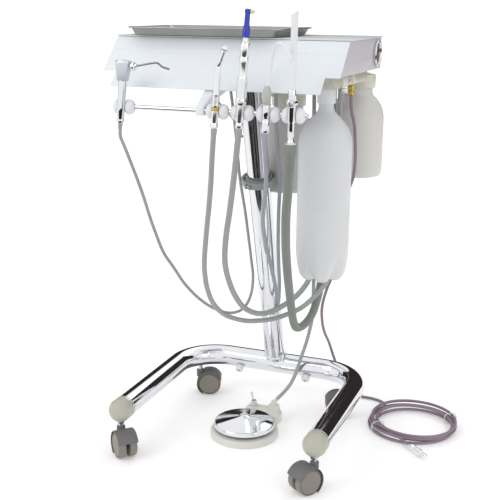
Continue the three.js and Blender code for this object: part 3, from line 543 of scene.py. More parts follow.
# Air supply hose: down from the brass fitting, over the floor, round its coil and into the plug.
supply = dict(radius=3.4, centre=(358, 190), start=165, turns=4.222, middle=93, sway=8, rise=4.9, low=4.2)
supplyRoute = [Vector(p) for p in (
        (0.232, -0.021, 0.793), (0.232, -0.021, 0.778), (0.233, -0.016, 0.76), (0.236, -0.004, 0.735),
        (0.237, 0.005, 0.7), (0.235, 0.02, 0.655), (0.226, 0.042, 0.615), (0.21, 0.054, 0.575),
        (0.192, 0.067, 0.51), (0.183, 0.083, 0.45), (0.172, 0.098, 0.38), (0.156, 0.11, 0.338),
        (0.1416, 0.13, 0.2929), (0.134, 0.158, 0.25), (0.13, 0.194, 0.2082), (0.131, 0.236, 0.165),
        (0.136, 0.262, 0.122), (0.146, 0.278, 0.08), (0.158, 0.29, 0.042), (0.17, 0.3, 0.014),
        (0.186, 0.305, 0.0044), (0.208, 0.306, 0.0042), (0.232, 0.304, 0.0042), (0.254, 0.296, 0.0042),
        (0.268, 0.281, 0.0042), (0.271, 0.263, 0.0042), (0.263, 0.2456, 0.0042),
        (0.2514, 0.2185, 0.0042),
)][:-1]
coilSteps = round(supply["turns"] * 30)
for i in range(coilSteps + 1):
    share = i / coilSteps
    turnsMade = share * supply["turns"]
    angle = math.radians(supply["start"] + 360 * turnsMade)
    radius = supply["middle"] + supply["sway"] * math.cos(math.pi * turnsMade * 1.04)
    radius = radius + max(0, 1 - turnsMade * 5) * 5 + 1.5 * math.sin(2 * angle + turnsMade)
    height = supply["low"] + supply["rise"] * max(0, turnsMade - 0.3) + 0.8 * math.sin(angle * 3) * share
    supplyRoute.append(Vector((
        (supply["centre"][0] + radius * math.cos(angle)) * mm,
        (supply["centre"][1] + radius * math.sin(angle)) * mm,
        height * mm,
    )))
plugAt = Vector((0.371, 0.074, 0.0084))
plugDirection = Vector((0.72, -0.69, 0)).normalized()
supplyRoute = supplyRoute[:-2] + [plugAt - plugDirection * 0.03 + Vector((-0.002, 0, 0.003)), plugAt]
supplyPoints = flowing([p + shift for p in supplyRoute], 0.006)
airTube = settle(along(supplyPoints, supply["radius"], 14), "air_tubing", "cart", "hoseMauve",
    ["air_hose", "air_hose_coil"])
plugProfile = [
    (0, -1), (4.2, -1), (5, 0.5), (5, 9), (7.4, 9.6), (8, 11), (8, 13), (7.2, 13.6), (8, 14.4), (8, 18),
    (6.4, 19),
    (6.4, 31), (8.2, 32.4), (8.2, 38), (7.5, 38.8), (8.2, 39.6), (8.2, 46), (5.5, 47), (5.5, 54), (4.7, 55),
    (4.7, 58), (5.5, 59), (5.5, 62), (3.5, 64), (0, 64),
]
plugPiece = settle(turned(plugProfile, toward(plugDirection, plugAt + shift), 40), "supply_plug", "cart",
    "bright",
    ["air_plug"])


def bundleTie(name, angle, reach):  # a nylon strap round all the turns of the coil
    direction = Vector((math.cos(math.radians(angle)), math.sin(math.radians(angle)), 0))
    centre = Vector((*supply["centre"], 13.6)) + direction * supply["middle"]
    around = direction.cross(Vector((0, 0, 1)))
    loop = []
    for i in range(33):
        a = 2 * math.pi * i / 32
        wide = reach * math.copysign(abs(math.cos(a)) ** 0.7, math.cos(a))
        tall = 12.4 * math.copysign(abs(math.sin(a)) ** 0.7, math.sin(a))
        loop.append(at(*(centre + direction * wide + Vector((0, 0, tall)))))
    strap = along(loop, 1.1, 10)
    head = knob((2.6, 2.2, 2.2), centre + direction * reach + around * 0.3, Matrix.Translation(shift), 8)
    return settle(joined([strap, head]), name, "cart", "tieNylon")


ties = [bundleTie("front_coil_tie", -142, 15), bundleTie("rear_coil_tie", 33, 15)]
round(pathLength(supplyPoints), 3)
print("hoses", len(hoses) + 1)


# Base: one bent tube with ball ends, stops under the crossbar and four twin-wheel casters
base = dict(radius=25.4, legX=224, frontY=-178.7, crossY=220, bend=100, height=99.4, ball=26)


def basePath():
    reach = base["legX"]
    points = [at(-reach, base["frontY"] + 14, base["height"]), at(-reach, -60, base["height"])]
    for sign in (-1, 1):
        corner = [
            at(sign * (reach - base["bend"] + base["bend"] * math.cos(a)),
                base["crossY"] - base["bend"] + base["bend"] * math.sin(a), base["height"])
            for a in [math.radians(90 * i / 16) for i in range(17)]
        ]
        points += corner if sign < 0 else corner[::-1]
    return [*points, at(reach, -60, base["height"]), at(reach, base["frontY"] + 14, base["height"])]


settle(along(basePath(), base["radius"], 44), "bent_base_tube", "cart", "chrome", ["base_tube"])
ballProfile = [
    (base["ball"] * math.cos(math.radians(a)), base["ball"] * math.sin(math.radians(a)))
    for a in range(-90, 24, 6)
]
ballProfile += [(24.6, 10.6), (24.9, 11.6), (24.6, 14.5), (25.6, 16), (25.6, 19.4), (22, 19.7), (0, 19.7)]
for side, node in ((-1, "left_end_ball"), (1, "right_end_ball")):
    place = toward((0, 1, 0), at(side * base["legX"], base["frontY"], base["height"]))
    ball = turned(ballProfile, place, 56)
    settle(ball, node.replace("end_ball", "ball_cap"), "cart", "ballPlastic", [node])
    boltPlace = at(side * base["legX"], base["frontY"], base["height"] - base["ball"])
    settle(turned([(0, -4), (8.5, -4), (9.5, -2.6), (9.5, 2.6), (0, 2.6)], Matrix.Translation(boltPlace),
        32),
        node.replace("end_ball", "stem_washer"), "cart", "steel")
for side, node, x in ((-1, "left_bumper", -88), (1, "right_bumper", 86)):
    place = toward((0, -0.8, -0.6), at(x, base["crossY"] - 26.4, base["height"] - 19.8))
    stop = hoop([(2.8, -7), (7.4, -7), (8.6, -6.4), (10, -4.6), (10, 4), (9.2, 6.2), (7.6, 7), (2.8, 7)],
        place, 40)
    settle(stop, node.replace("bumper", "stop"), "cart", "whitePlastic", [node])
    eye = hoop([(1.5, -5), (3.4, -5), (3.4, 7.2), (2.8, 7.6), (1.5, 7.4)], place, 28)
    settle(eye, node.replace("bumper", "stop_insert"), "cart", "brass")
    settle(turned([(0, -5), (1.5, -5), (1.5, 4), (0, 4)], place, 16), node.replace("bumper", "stop_bore"),
        "cart",
        "blackPlastic")

caster = dict(wheel=29, trail=24, wrapLow=-22, wrap=214)
casterSet = (
    ("front_left", -224, -178.7, (0.72, -0.69)),
    ("front_right", 224, -178.7, (-0.57, -0.82)),
    ("rear_left", -194.7, 190.7, (0.94, 0.34)),
    ("rear_right", 194.7, 190.7, (-0.94, -0.34)),
)
wheelProfile = [
    (0, 4.5), (27, 4.5), (28.4, 5.2), (29, 6.4), (29, 17.6), (28.4, 19.4), (27, 20.6), (26.2, 20.8),
    (25.8, 20.2),
    (25.4, 20.2), (24.8, 20.9), (14, 21.4), (0, 21.4),
]
hoodProfile = [  # the cover's own section, wrapped round the wheels from front to back
    (32.4, -20.6), (31.4, -22.4), (30.2, -22.8), (30.2, -21), (30.8, -4), (26, -3.8), (10, -3.6), (10, 3.6),
    (26, 3.8), (30.8, 4), (30.2, 21), (30.2, 22.8), (31.4, 22.4), (32.4, 20.6),
]


def wrapped(profile, place, start, arc, steps):  # spins a closed section round the axle, part of the way
    obj = outline([(r, 0, z) for r, z in [*profile, profile[0]]])
    bpy.ops.mesh.select_all(action="SELECT")
    bpy.ops.mesh.remove_doubles(threshold=mm * 0.002)
    bpy.ops.mesh.spin(steps=steps, angle=math.radians(arc), center=(0, 0, 0), axis=(0, 0, 1))
    for turnedBy in (0, arc):
        bpy.ops.mesh.select_all(action="DESELECT")
        bpy.ops.object.mode_set(mode="OBJECT")
        across = Vector((-math.sin(math.radians(turnedBy)), math.cos(math.radians(turnedBy)), 0))
        ahead = Vector((math.cos(math.radians(turnedBy)), math.sin(math.radians(turnedBy)), 0))
        for vertex in obj.data.vertices:
            if abs(vertex.co.dot(across)) < mm * 0.01 and vertex.co.dot(ahead) > 0:
                vertex.select = True
        bpy.ops.object.mode_set(mode="EDIT")
        bpy.ops.mesh.edge_face_add()
    bpy.ops.mesh.select_all(action="SELECT")
    bpy.ops.mesh.normals_make_consistent(inside=False)
    bpy.ops.object.mode_set(mode="OBJECT")
    return soften(seated(obj, place @ Matrix.Rotation(math.radians(start), 4, "Z")), 0.35)


for name, x, y, (dx, dy) in casterSet:
    heading = Matrix.Translation(at(x, y, 0)) @ Matrix.Rotation(math.atan2(dy, dx), 4, "Z")
    axle = heading @ toward((0, 1, 0), nudge(caster["trail"], 0, caster["wheel"]))
    discs = []
    for sign in (1, -1):
        discs.append(turned([(r, sign * z) for r, z in wheelProfile], axle, 56))
    discs.append(turned([(0, -4.6), (3, -4.6), (3, 4.6), (0, 4.6)], axle, 20))
    settle(joined(discs), name + "_twin_wheels", name + "_wheels", "wheelPlastic",
        [name + "_caster_wheels"])
    rims = [
        hoop([(25.2, sign * 20.0), (26.2, sign * 20.0), (26.2, sign * 20.95), (25.2, sign * 20.75)], axle,
        56)
        for sign in (1, -1)
    ]
    settle(joined(rims), name + "_wheel_grooves", name + "_wheels", "tyreRubber")
    cover = wrapped(hoodProfile, axle, caster["wrapLow"], caster["wrap"], 40)
    neck = turned([(0, 44), (9, 44), (9.6, 50), (9.6, 60), (8.8, 62), (0, 62)], heading, 32)
    settle(joined([cover, neck]), name + "_hood", name + "_caster", "hoodPlastic",
        [name + "_caster_hood"])
    settle(turned([(0, 60), (5.5, 60), (5.5, 72.6), (0, 72.6)], heading, 24), name + "_stem",
        name + "_caster",
        "steel")
print("base and casters")


# Column and its hose collar
column = dict(radius=25.4, tilt=0.277, top=831.7, collarHeight=588)
lean = math.tan(column["tilt"])
columnDirection = (0, -math.sin(column["tilt"]), math.cos(column["tilt"]))


def columnAt(z):
    return at(0, base["crossY"] - (z - base["height"]) * lean, z)


bpy.ops.object.select_all(action="DESELECT")
columnFoot = toward(columnDirection, columnAt(base["height"] + 12))
post = turned([(0, 6), (column["radius"], 6), (column["radius"], 790), (0, 790)], columnFoot, 72)
onlyThis(post)
bpy.ops.object.mode_set(mode="EDIT")
bpy.ops.mesh.select_all(action="SELECT")
bpy.ops.mesh.bisect(plane_co=at(0, 0, column["top"]), plane_no=(0, 0, 1), use_fill=True, clear_outer=True)
bpy.ops.object.mode_set(mode="OBJECT")
settle(soften(post), "chrome_column", "cart", "chrome", ["column_tube"])
weld = hoop([(25.2, 14), (27.6, 14.5), (27.6, 17), (26.4, 19), (25.2, 19.4)], columnFoot, 56)
settle(weld, "column_weld_ring", "cart", "chrome")
collarPlace = toward(columnDirection, columnAt(column["collarHeight"]))
collarParts = [
    hoop([(26, -7), (29.6, -7), (30.2, -6), (30.2, 6), (29.6, 7), (26, 7)], collarPlace, 56),
    hoop([(35, -6.8), (36, -7.6), (39.2, -7.6), (40, -6.6), (40, 6.6), (39.2, 7.6), (36, 7.6), (35, 6.8)],
        collarPlace, 64),
]
for angle in range(0, 360, 45):
    spoke = collarPlace @ Matrix.Rotation(math.radians(angle), 4, "Z")
    collarParts.append(block((29, -1.6, -5.4), (36.4, 1.6, 5.4), 0.5, 2, spoke))
clampPlace = collarPlace @ Matrix.Rotation(-1.9, 4, "Z")  # the two lugs of the clamp face the left
collarParts.append(block((38.5, -7, -6), (44.5, -2.6, 6), 0.8, 2, clampPlace))
collarParts.append(block((38.5, 2.6, -6), (44.5, 7, 6), 0.8, 2, clampPlace))
settle(joined(collarParts), "hose_ring", "cart", "collarPlastic", ["hose_collar"])
clampScrew = toward((0, 1, 0), nudge(41.6, 0, 0))
screw = turned([(0, -9), (3.2, -9), (3.2, -6.6), (1.4, -6.6), (1.4, 9), (0, 9)],
    clampPlace @ clampScrew, 20)
settle(screw, "hose_ring_screw", "cart", "steel")
print("column")


# Cabinet: folded sheet box with a sloped front panel, a cover and small fittings on its right side
cabinet = dict(half=247.9, top=902, bottom=838, frontTop=-102.7, frontLow=-166.4, fold=33,
    seam=247.4)
settle(refined("cabinet_shell", 0.8), "cabinet_box", "cart", "sidePaint", ["cabinet_shell"])
coverLow, coverHigh = (Vector(c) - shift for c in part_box("cabinet_cover"))
lid = block(coverLow / mm, coverHigh / mm, 1.1, 3, Matrix.Translation(shift))
settle(lid, "cabinet_lid", "cart", "coverPaint", ["cabinet_cover"])
settle(refined("front_panel", 0.7), "sloped_front_panel", "cart", "whitePaint",
    ["front_panel"])
slopeDown = Vector((0, cabinet["frontLow"] - cabinet["frontTop"],
    cabinet["bottom"] - cabinet["top"])).normalized()
slopeOut = Vector((1, 0, 0)).cross(slopeDown)
if slopeOut.y > 0:
    slopeOut = -slopeOut
seamAt = at(0, cabinet["frontTop"], cabinet["top"]) + slopeDown * cabinet["fold"] * mm + slopeOut * 0.1 * mm
seam = along([seamAt - nudge(cabinet["seam"], 0, 0), seamAt + nudge(cabinet["seam"], 0, 0)], 0.5, 8)
settle(seam, "front_panel_fold", "cart", "whitePaint")

sideX = cabinet["half"]
marks = []
for i, y in enumerate((-118, -76, -42, -10, 22)):  # adjuster screws above their pilot holes
    marks.append(turned([(0, -0.5), (1.7, -0.5), (1.7, 0.4), (1.2, 0.7), (0, 0.5)],
        toward((1, 0, 0), at(sideX, y, 862 + i * 0.4)), 20))
    marks.append(turned([(0, -0.5), (1.1, -0.5), (1.1, 0.3), (0, 0.3)],
        toward((1, 0, 0), at(sideX, y, 850)), 16))
settle(joined(marks), "side_adjusters", "cart", "greyPlastic")
strokes = [block((sideX - 0.3, y, z), (sideX + 0.3, y + 13, z + 1.2), 0, 2, Matrix.Translation(shift))
    for y, z in ((70, 880), (70, 875), (-136, 866))]
settle(joined(strokes), "side_scale_lines", "cart", "greyPlastic")

tray = dict(x=(-225, 113), y=(-127, 117), z=(905.6, 922), corner=36, sheet=1.3)
bpy.ops.object.select_all(action="DESELECT")
bpy.ops.mesh.primitive_plane_add(size=mm)
pan = bpy.context.object
pan.scale = (tray["x"][1] - tray["x"][0] - 1.2, tray["y"][1] - tray["y"][0] - 1.2, 1)
pan.location = at(sum(tray["x"]) / 2, sum(tray["y"]) / 2, tray["z"][1] - 0.7)
onlyThis(pan)
bpy.ops.object.transform_apply(location=True, rotation=True, scale=True)
bpy.ops.object.mode_set(mode="EDIT")
bpy.ops.mesh.select_all(action="SELECT")
bpy.ops.mesh.bevel(offset=tray["corner"] * mm, segments=14, affect="VERTICES")
bpy.ops.mesh.select_all(action="SELECT")
for inward, sink in ((5.2, 0), (1.2, -0.5), (7, -11), (1.4, -1.7), (2.2, -1), (3, -0.1)):
    bpy.ops.mesh.inset(thickness=inward * mm, depth=sink * mm)
bpy.ops.object.mode_set(mode="OBJECT")
applied(pan, "SOLIDIFY", thickness=tray["sheet"] * mm, offset=-1)
soften(pan, 0.5, 3, 25)
rim = []
for i in range(60):
    a = 2 * math.pi * i / 60
    corner = tray["corner"] - 1
    centreX = (tray["x"][1] - corner - 1.3) if math.cos(a) > 0 else (tray["x"][0] + corner + 1.3)
    centreY = (tray["y"][1] - corner - 1.3) if math.sin(a) > 0 else (tray["y"][0] + corner + 1.3)
    rim.append(at(centreX + corner * math.cos(a), centreY + corner * math.sin(a), tray["z"][1] - 1.3))
settle(joined([pan, along([*rim, rim[0]], 1.2, 10)]), "instrument_tray", "tray", "trayMetal",
    ["tray"])

gauge = dict(x=248.2, y=113, z=870.6)
gaugePlace = toward((1, 0, 0), at(gauge["x"], gauge["y"], gauge["z"]))
bezel = hoop([(21, 0), (25.8, 0), (26.4, 1), (26.4, 5), (25.6, 6.2), (23.4, 6.4), (22.4, 5.4), (21.8, 2),
    (21, 1.8)],
    gaugePlace, 72)
settle(bezel, "gauge_ring", "cart", "steel", ["gauge_bezel"])
settle(turned([(0, 0.2), (21.6, 0.2), (21.6, 1.3), (0, 1.3)], gaugePlace, 56), "gauge_dial", "cart",
    "dialCard")
ticks = []
for i in range(11):
    turnBy = gaugePlace @ Matrix.Rotation(math.radians(45 + 27 * i), 4, "Z")
    ticks.append(block((-0.45, 15.5, 1.2), (0.45, 19.5 if i % 2 == 0 else 18, 1.6), 0, 2, turnBy))
settle(joined(ticks), "gauge_marks", "cart", "whitePlastic")
settle(refined("gauge_needle", 0.2), "gauge_pointer", "gauge_needle", "brass",
    ["gauge_needle"])

settle(refined("service_bracket", 0.7), "side_service_block", "cart", "clearBeige",
    ["service_bracket"])
nut = dict(x=232, y=-21)
fittingPlace = Matrix.Translation(at(nut["x"], nut["y"], 0))
fitting = turned([(0, 793.5), (4.4, 793.5), (5.6, 794.4), (5.9, 796), (5.9, 800), (4.8, 801.4),
    (4.6, 803.6),
    (4.8, 804.6), (6.6, 805.4), (6.7, 807), (6.7, 811), (5.6, 812.4), (4.5, 813), (4.5, 815.5), (0, 815.5)],
    fittingPlace, 6)
settle(soften(fitting, 0.35), "brass_union", "cart", "brass", ["air_inlet_fitting"])
quick = toward((0, 0, -1), at(232, -70, 818.6))
coupler = turned([(0, -1), (4.4, -1), (4.4, 3), (6, 3.6), (6, 6.4), (5, 7), (5, 8), (6, 8.6), (6, 12.4),
    (5.4, 13),
    (4.6, 17), (3, 17), (3, 14), (0, 14)], quick, 32)
settle(coupler, "quick_coupler", "cart", "bright")
settle(turned([(0, 0), (3.4, 0), (3.4, 1.6), (1.6, 1.6), (1.2, 0.8), (0, 0.8)],
    toward((1, 0, 0), at(237.3, -62, 826)), 24), "valve_block_screw", "cart", "steel")
print("cabinet")


# Instrument bar, its arm and the five holders
settle(refined("bar_arm", 1.2, 3), "bar_arm_casting", "cart", "whitePaint", ["bar_arm"])
barProfile = [(0, -202), (2.6, -202), (4.6, -200.6), (5.6, -198), (5.6, -193), (4.8, -190.5), (4.76, -188),
    (4.76, 188), (4.8, 190.5), (5.6, 193), (5.6, 198), (4.6, 200.6), (2.6, 202), (0, 202)]
barPlace = toward((1, 0, 0), at(0, -210.3, 770.5))
settle(turned(barProfile, barPlace, 40), "instrument_rail", "cart", "chrome", ["holder_bar"])

slots = dict(
    syringe=dict(x=-177, tilt=0.089, bore=7.6),
    high_speed=dict(x=22.7, tilt=0.075, bore=7.0),
    low_speed=dict(x=73.3, tilt=0.075, bore=7.5),
    saliva=dict(x=124.7, tilt=0.042, bore=7.6),
    hve=dict(x=174.5, tilt=0.016, bore=7.7),
)


def inSlot(name, local=still):  # local +Z runs up the instrument from the middle of its holder
    slot = slots[name]
    return Matrix.Translation(at(slot["x"], -226, 770.5)) @ Matrix.Rotation(slot["tilt"], 4, "Y") @ local


for name, slot in slots.items():
    centre = Matrix.Translation(at(slot["x"], -213.3, 770.5))
    body = knob((11.5, 14, 15), (-12, 0, 0), centre)
    cut(body, knob((11.5, 14, 15), (12, 0, 0), centre), "UNION")
    cut(body, block((-14, -3, -9), (14, 11, 9), 2.5, 3, centre), "UNION")
    reach = slot["bore"] + 0.45
    cut(body, turned([(0, -40), (reach, -40), (reach, 40), (0, 40)], inSlot(name), 40))
    cut(body, block((-reach, -30, -40), (reach, 0, 40), 0, 2, inSlot(name)))
    cut(body, turned([(0, -60), (5.6, -60), (5.6, 60), (0, 60)],
        toward((1, 0, 0), at(slot["x"], -210.3, 770.5)), 32))
    settle(soften(body), name + "_clip", "cart", "whitePlastic", [name + "_holder"])
    bolt = turned([(0, 8), (4.2, 8), (4.2, 12.4), (3.4, 13.2), (1.8, 13.2), (1.4, 12), (0, 12)],
        toward((0, 1, 0), at(slot["x"], -210.3 - 2.6, 770.5)), 6)
    settle(bolt, name + "_clip_screw", "cart", "steel")
print("rail and holders")


# Air and water syringe
handle = turned([
    (0, -31), (6, -31), (7, -29.6), (7.2, -24), (6.9, -23.2), (6.9, -22), (7.3, -21.4), (7.5, 0), (8, 34),
    (8.3, 52), (8.3, 56), (0, 56),
], inSlot("syringe"), 48)
headBlock = outline([(-8.5, -8.2, 52), (8.5, -8.2, 52), (8.5, 8.2, 52), (-8.5, 8.2, 52)])
bpy.ops.mesh.select_all(action="SELECT")
bpy.ops.mesh.edge_face_add()
for rise, grow, lean in ((10, 1.12, 0), (24, 1.5, 0.25), (5, 0.92, 0.25)):
    bpy.ops.mesh.extrude_region_move(TRANSFORM_OT_translate={"value": (lean * mm, 0, rise * mm)})
    bpy.ops.transform.resize(value=(grow, 1.05 if grow > 1 else 0.85, 1))
bpy.ops.mesh.select_all(action="SELECT")
bpy.ops.mesh.normals_make_consistent(inside=False)
bpy.ops.object.mode_set(mode="OBJECT")
buttonWay = (-0.6, 0, 0.8)
seatPlace = toward(buttonWay, nudge(-13.2, 0, 87))
cut(headBlock, block((-8, -12, 0), (8, 12, 12), 0, 2, seatPlace))
for side in (-4.2, 4.2):
    cut(headBlock, turned([(0, -5), (3.2, -5), (3.2, 6), (0, 6)], toward(buttonWay,
        nudge(-11.5, side, 86.5)), 28))
soften(headBlock, 1.1, 3)
settle(handle, "syringe_handle", "syringe", "chrome", ["syringe_body"])
settle(seated(headBlock, inSlot("syringe")), "syringe_head", "syringe", "blastedSteel")
for kind, side in (("air", -4.2), ("water", 4.2)):
    button = turned([(0, -2), (2.8, -2), (2.8, 2.2), (2.4, 3.2), (1.6, 3.6), (0.8, 3.3), (0, 3.2)],
        inSlot("syringe", toward(buttonWay, nudge(-11.5, side, 86.5))), 32)
    settle(button, kind + "_push_button", f"syringe_{kind}_button", "blackPlastic",
        [f"syringe_{kind}_button"])
nozzlePlace = inSlot("syringe",
    Matrix.Translation(nudge(18.4, 0, 81)) @ Matrix.Rotation(math.pi / 2 - 0.269, 4, "Y"))
collet = turned([(0, 0), (7.6, 0), (8.2, 0.8), (8.2, 2.4), (7.4, 3), (8.2, 3.6), (8.2, 6.2), (7.4, 7),
    (4.4, 7.4),
    (4, 8.4), (4, 11.4), (3, 12), (0, 12)], nozzlePlace, 40)
pipe = [nozzlePlace @ p for p in flowing([nudge(x, 0, z) for x, z in (
    (0, 2), (0, 12), (0, 48), (0.4, 52.6), (2.6, 57.4), (6.2, 60.8), (9.4, 63.8), (16.5, 78))], 0.0015)]
settle(collet, "syringe_nozzle_nut", "syringe_nozzle", "chrome")
settle(along(pipe, 1.9, 18), "syringe_tip", "syringe_nozzle", "darkSteel", ["syringe_nozzle"])
relief = turned([(0, -43), (3.7, -43), (4.1, -40), (4.6, -33), (6, -30.6), (0, -30.6)], inSlot("syringe"),
    32)
settle(relief, "syringe_relief", "syringe", "hoseGray")
print("syringe")

# High-speed handpiece
neckWay = (math.sin(0.325), 0, math.cos(0.325))
gripRings = []
for i in range(9):
    z = 14 + i * 1.9
    gripRings += [(7.05, z), (6.8, z + 0.6), (6.8, z + 1.1), (7.05, z + 1.6)]
highParts = [
    turned([(0, -31), (5.6, -31), (6.9, -29.6), (7, -21), (6.6, -20.4), (6.6, -19), (7, -18.4), (7, 3),
    (6, 3.8),
        (6, 9.6), (6.6, 11), (7.05, 13), *gripRings, (6.9, 34), (6.2, 52), (5.6, 70), (5.2, 84),
        (4.6, 88.6),
        (3.4, 91), (0, 91.4)], inSlot("high_speed"), 48),
    turned([(0, -2.4), (4, -2.4), (5, -0.6), (4.6, 8), (4.3, 18), (4.2, 34), (0, 34)],
        inSlot("high_speed", toward(neckWay, nudge(0, 0, 86))), 40),
]
headPlace = inSlot("high_speed", toward((-neckWay[2], 0, neckWay[0]),
    nudge(neckWay[0] * 34, 0, 86 + neckWay[2] * 34)))
highParts.append(turned([(0, -6.5), (1, -6.5), (1.1, -6), (3, -6), (3.3, -5), (5.2, -4.6), (5.5, -4),
    (5.6, 4.2),
    (5.2, 4.6), (5.2, 5.1), (5.6, 5.4), (5.2, 6), (3.6, 6.6), (0, 6.6)], headPlace, 48))
settle(joined(highParts), "turbine_handpiece", "high_speed", "bright", ["high_speed_handpiece"])
band = hoop([(6.4, 3.9), (7.06, 4.1), (7.06, 9.3), (6.4, 9.5)], inSlot("high_speed"), 40)
settle(band, "turbine_coupling_band", "high_speed", "brass")
relief = turned([(0, -43), (5.6, -43), (5.9, -38), (6.2, -32), (5.4, -30.6), (0, -30.6)],
    inSlot("high_speed"), 32)
settle(relief, "high_speed_relief", "high_speed", "hoseGray")

# Low-speed motor with a disposable angle
motor = turned([
    (0, -28), (6.4, -28), (7.4, -26.6), (7.5, -18), (7.1, -17.4), (7.1, -16), (7.5, -15.4), (7.5, 15.6),
    (9.8, 16),
    (10.3, 16.8), (10.3, 22), (9.9, 22.4), (9.9, 23.4), (10.3, 23.8), (10.3, 27), (9.9, 27.6), (9.7, 64.8),
    (8.3, 66.4), (8, 68), (8, 91.6), (8.7, 93.6), (8.7, 104), (8.4, 104.4), (8.4, 105.2), (8.7, 105.6),
    (8.7, 128),
    (8, 130), (5.6, 131.6), (5.4, 133), (5.4, 139), (4.4, 139.5), (4.4, 146), (0, 146),
], inSlot("low_speed"), 56)
settle(motor, "slow_speed_motor", "low_speed", "bright", ["low_speed_motor"])
sleeve = hoop([(9.6, 28), (10.1, 28.3), (10.1, 64), (9.6, 64.4)], inSlot("low_speed"), 56)
settle(sleeve, "motor_polished_band", "low_speed", "chrome")
pins = [turned([(0, 9.6), (1, 9.6), (1, 10.5), (0, 10.5)],
        inSlot("low_speed", toward((math.sin(a), -math.cos(a), 0), nudge(0, 0, 25.4))), 12) for a in (0.1,
        1.3, -1.1)]
settle(joined(pins), "motor_coupling_pins", "low_speed", "blackPlastic")
ribs = []
for i in range(5):
    z = 141.4 + i * 2
    ribs += [(7.1, z), (6.8, z + 0.5), (6.8, z + 1), (7.1, z + 1.5)]
angle = turned([(4.7, 140), (7.1, 140), *ribs, (6.9, 152), (6.1, 157), (5.2, 162), (4.8, 167), (4.7, 183),
    (4.3, 187), (2.6, 188), (0, 188.2), (0, 146.4), (4.7, 146.4), (4.7, 140)], inSlot("low_speed"), 40)
barrel = turned([(0, -4.5), (3.6, -4.5), (4.6, -3.6), (4.6, 3), (4.2, 3.8), (4.2, 5.4), (2.3, 5.5),
    (2.3, 3.2),
    (0, 3.2)], inSlot("low_speed", toward((1, 0, 0), nudge(0, 0, 186))), 36)
settle(joined([angle, barrel]), "disposable_angle", "prophy_angle", "bluePlastic",
    ["prophy_angle"])
cup = turned([(0, 3.4), (1.9, 3.4), (1.9, 5.8), (3.3, 6.4), (3.5, 7), (3.4, 8.4), (3.1, 12), (2.8, 12.4),
    (2.4, 12.2),
    (1.9, 10), (1.4, 9), (0, 8.6)], inSlot("low_speed", toward((1, 0, 0), nudge(0, 0, 186))), 36)
settle(cup, "polishing_cup", "prophy_cup", "cupRubber", ["prophy_cup"])
relief = turned([(0, -40), (6.2, -40), (6.5, -35), (6.8, -29), (6, -27.6), (0, -27.6)], inSlot("low_speed"),
    32)
settle(relief, "low_speed_relief", "low_speed", "hoseGray")
print("handpieces")

# Saliva ejector
valve = turned([(0, -34), (6, -34), (7.4, -32.6), (7.6, -31), (7.6, -13), (7.2, -11.4), (6.6, -10.4),
    (6.6, -4),
    (7.2, -3), (7.6, -1.6), (7.6, 17), (7.2, 19), (5, 20), (0, 20)], inSlot("saliva"), 48)
settle(valve, "ejector_valve", "saliva_valve", "chrome", ["saliva_valve"])
ring = hoop([(8.0, 17.4), (9.4, 17.8), (9.6, 19), (9.2, 20.2), (8.2, 20.2), (7.8, 19.2)], inSlot("saliva"),
    40)
settle(ring, "ejector_seal", "saliva_valve", "clearBeige")
bend = flowing([nudge(x, y, z) for x, y, z in (
    (0, 0, 50), (3.4, 0, 72), (6, -1, 92), (8.6, -3, 112), (13, -6, 126), (22, -10, 132.5), (33, -14, 129),
    (42, -17, 119), (50, -20, 103))], 0.003)
holder = turned([(0, 20.6), (7.6, 20.6), (8, 21.4), (8, 40), (7.6, 44), (6.6, 48.5), (5.2, 52), (4.2, 53.4),
    (0, 53.4)], inSlot("saliva"), 40)
settle(holder, "ejector_tip_holder", "saliva_tip", "greyPlastic")
tipParts = [along([inSlot("saliva") @ p for p in bend], 2.9, 20)]
endWay = (bend[-1] - bend[-3]).normalized()
tipParts.append(turned([(0, -9), (3.2, -9), (3.7, -7.6), (3.9, -4), (3.7, -0.8), (2.6, 0), (0, 0)],
    inSlot("saliva", toward(endWay, bend[-1])), 28))
settle(joined(tipParts), "ejector_tip", "saliva_tip", "whitePlastic", ["saliva_tip"])
relief = turned([(0, -45), (4.7, -45), (5, -41), (5.4, -36), (5, -33.6), (0, -33.6)], inSlot("saliva"), 32)
settle(relief, "saliva_relief", "saliva_valve", "hoseBlueGray")

# High-volume suction
suction = turned([(0, -52), (9.6, -52), (10.6, -51.4), (10.6, -50), (9, -49.2), (6.6, -46), (6, -43),
    (6, -13), (6.6, -11.6), (7.7, -9.6), (7.7, 36), (7.3, 36.5), (7.3, 37.5), (7.7, 38), (7.7, 46), (7, 48),
    (0, 48)], inSlot("hve"), 48)
boss = turned([(0, -10), (8.5, -10), (8.5, 6.8), (7.8, 7.8), (0, 7.8)],
    inSlot("hve", toward((0, -1, 0), nudge(0, 0, 24))), 40)
settle(joined([suction, boss]), "suction_valve", "hve_valve", "chrome", ["hve_valve"])
knobPlace = inSlot("hve", toward((0, -1, 0), nudge(0, 0, 24)))
dial = turned([(0, 8.1), (6.4, 8.1), (7, 8.7), (7, 10.8), (6.4, 12.2), (5, 13), (2.2, 13), (1.8, 12.2),
    (0, 12.2)],
    knobPlace, 40)
settle(dial, "suction_valve_knob", "hve_valve_knob", "steel", ["hve_valve_knob"])
slotMark = block((-1, -5, 12.2), (1, 5, 12.9), 0.2, 2, knobPlace)
settle(slotMark, "suction_knob_mark", "hve_valve_knob", "blackPlastic")
tip = turned([(6.4, 48.4), (6.4, 196), (5.9, 196.4), (4.9, 196), (4.9, 60), (3.2, 58.5), (0, 58.5),
    (0, 48.4),
    (6.4, 48.4)], inSlot("hve"), 48)
onlyThis(tip)
bpy.ops.object.mode_set(mode="EDIT")
bpy.ops.mesh.select_all(action="SELECT")
tipCut = inSlot("hve") @ nudge(0, 0, 184)
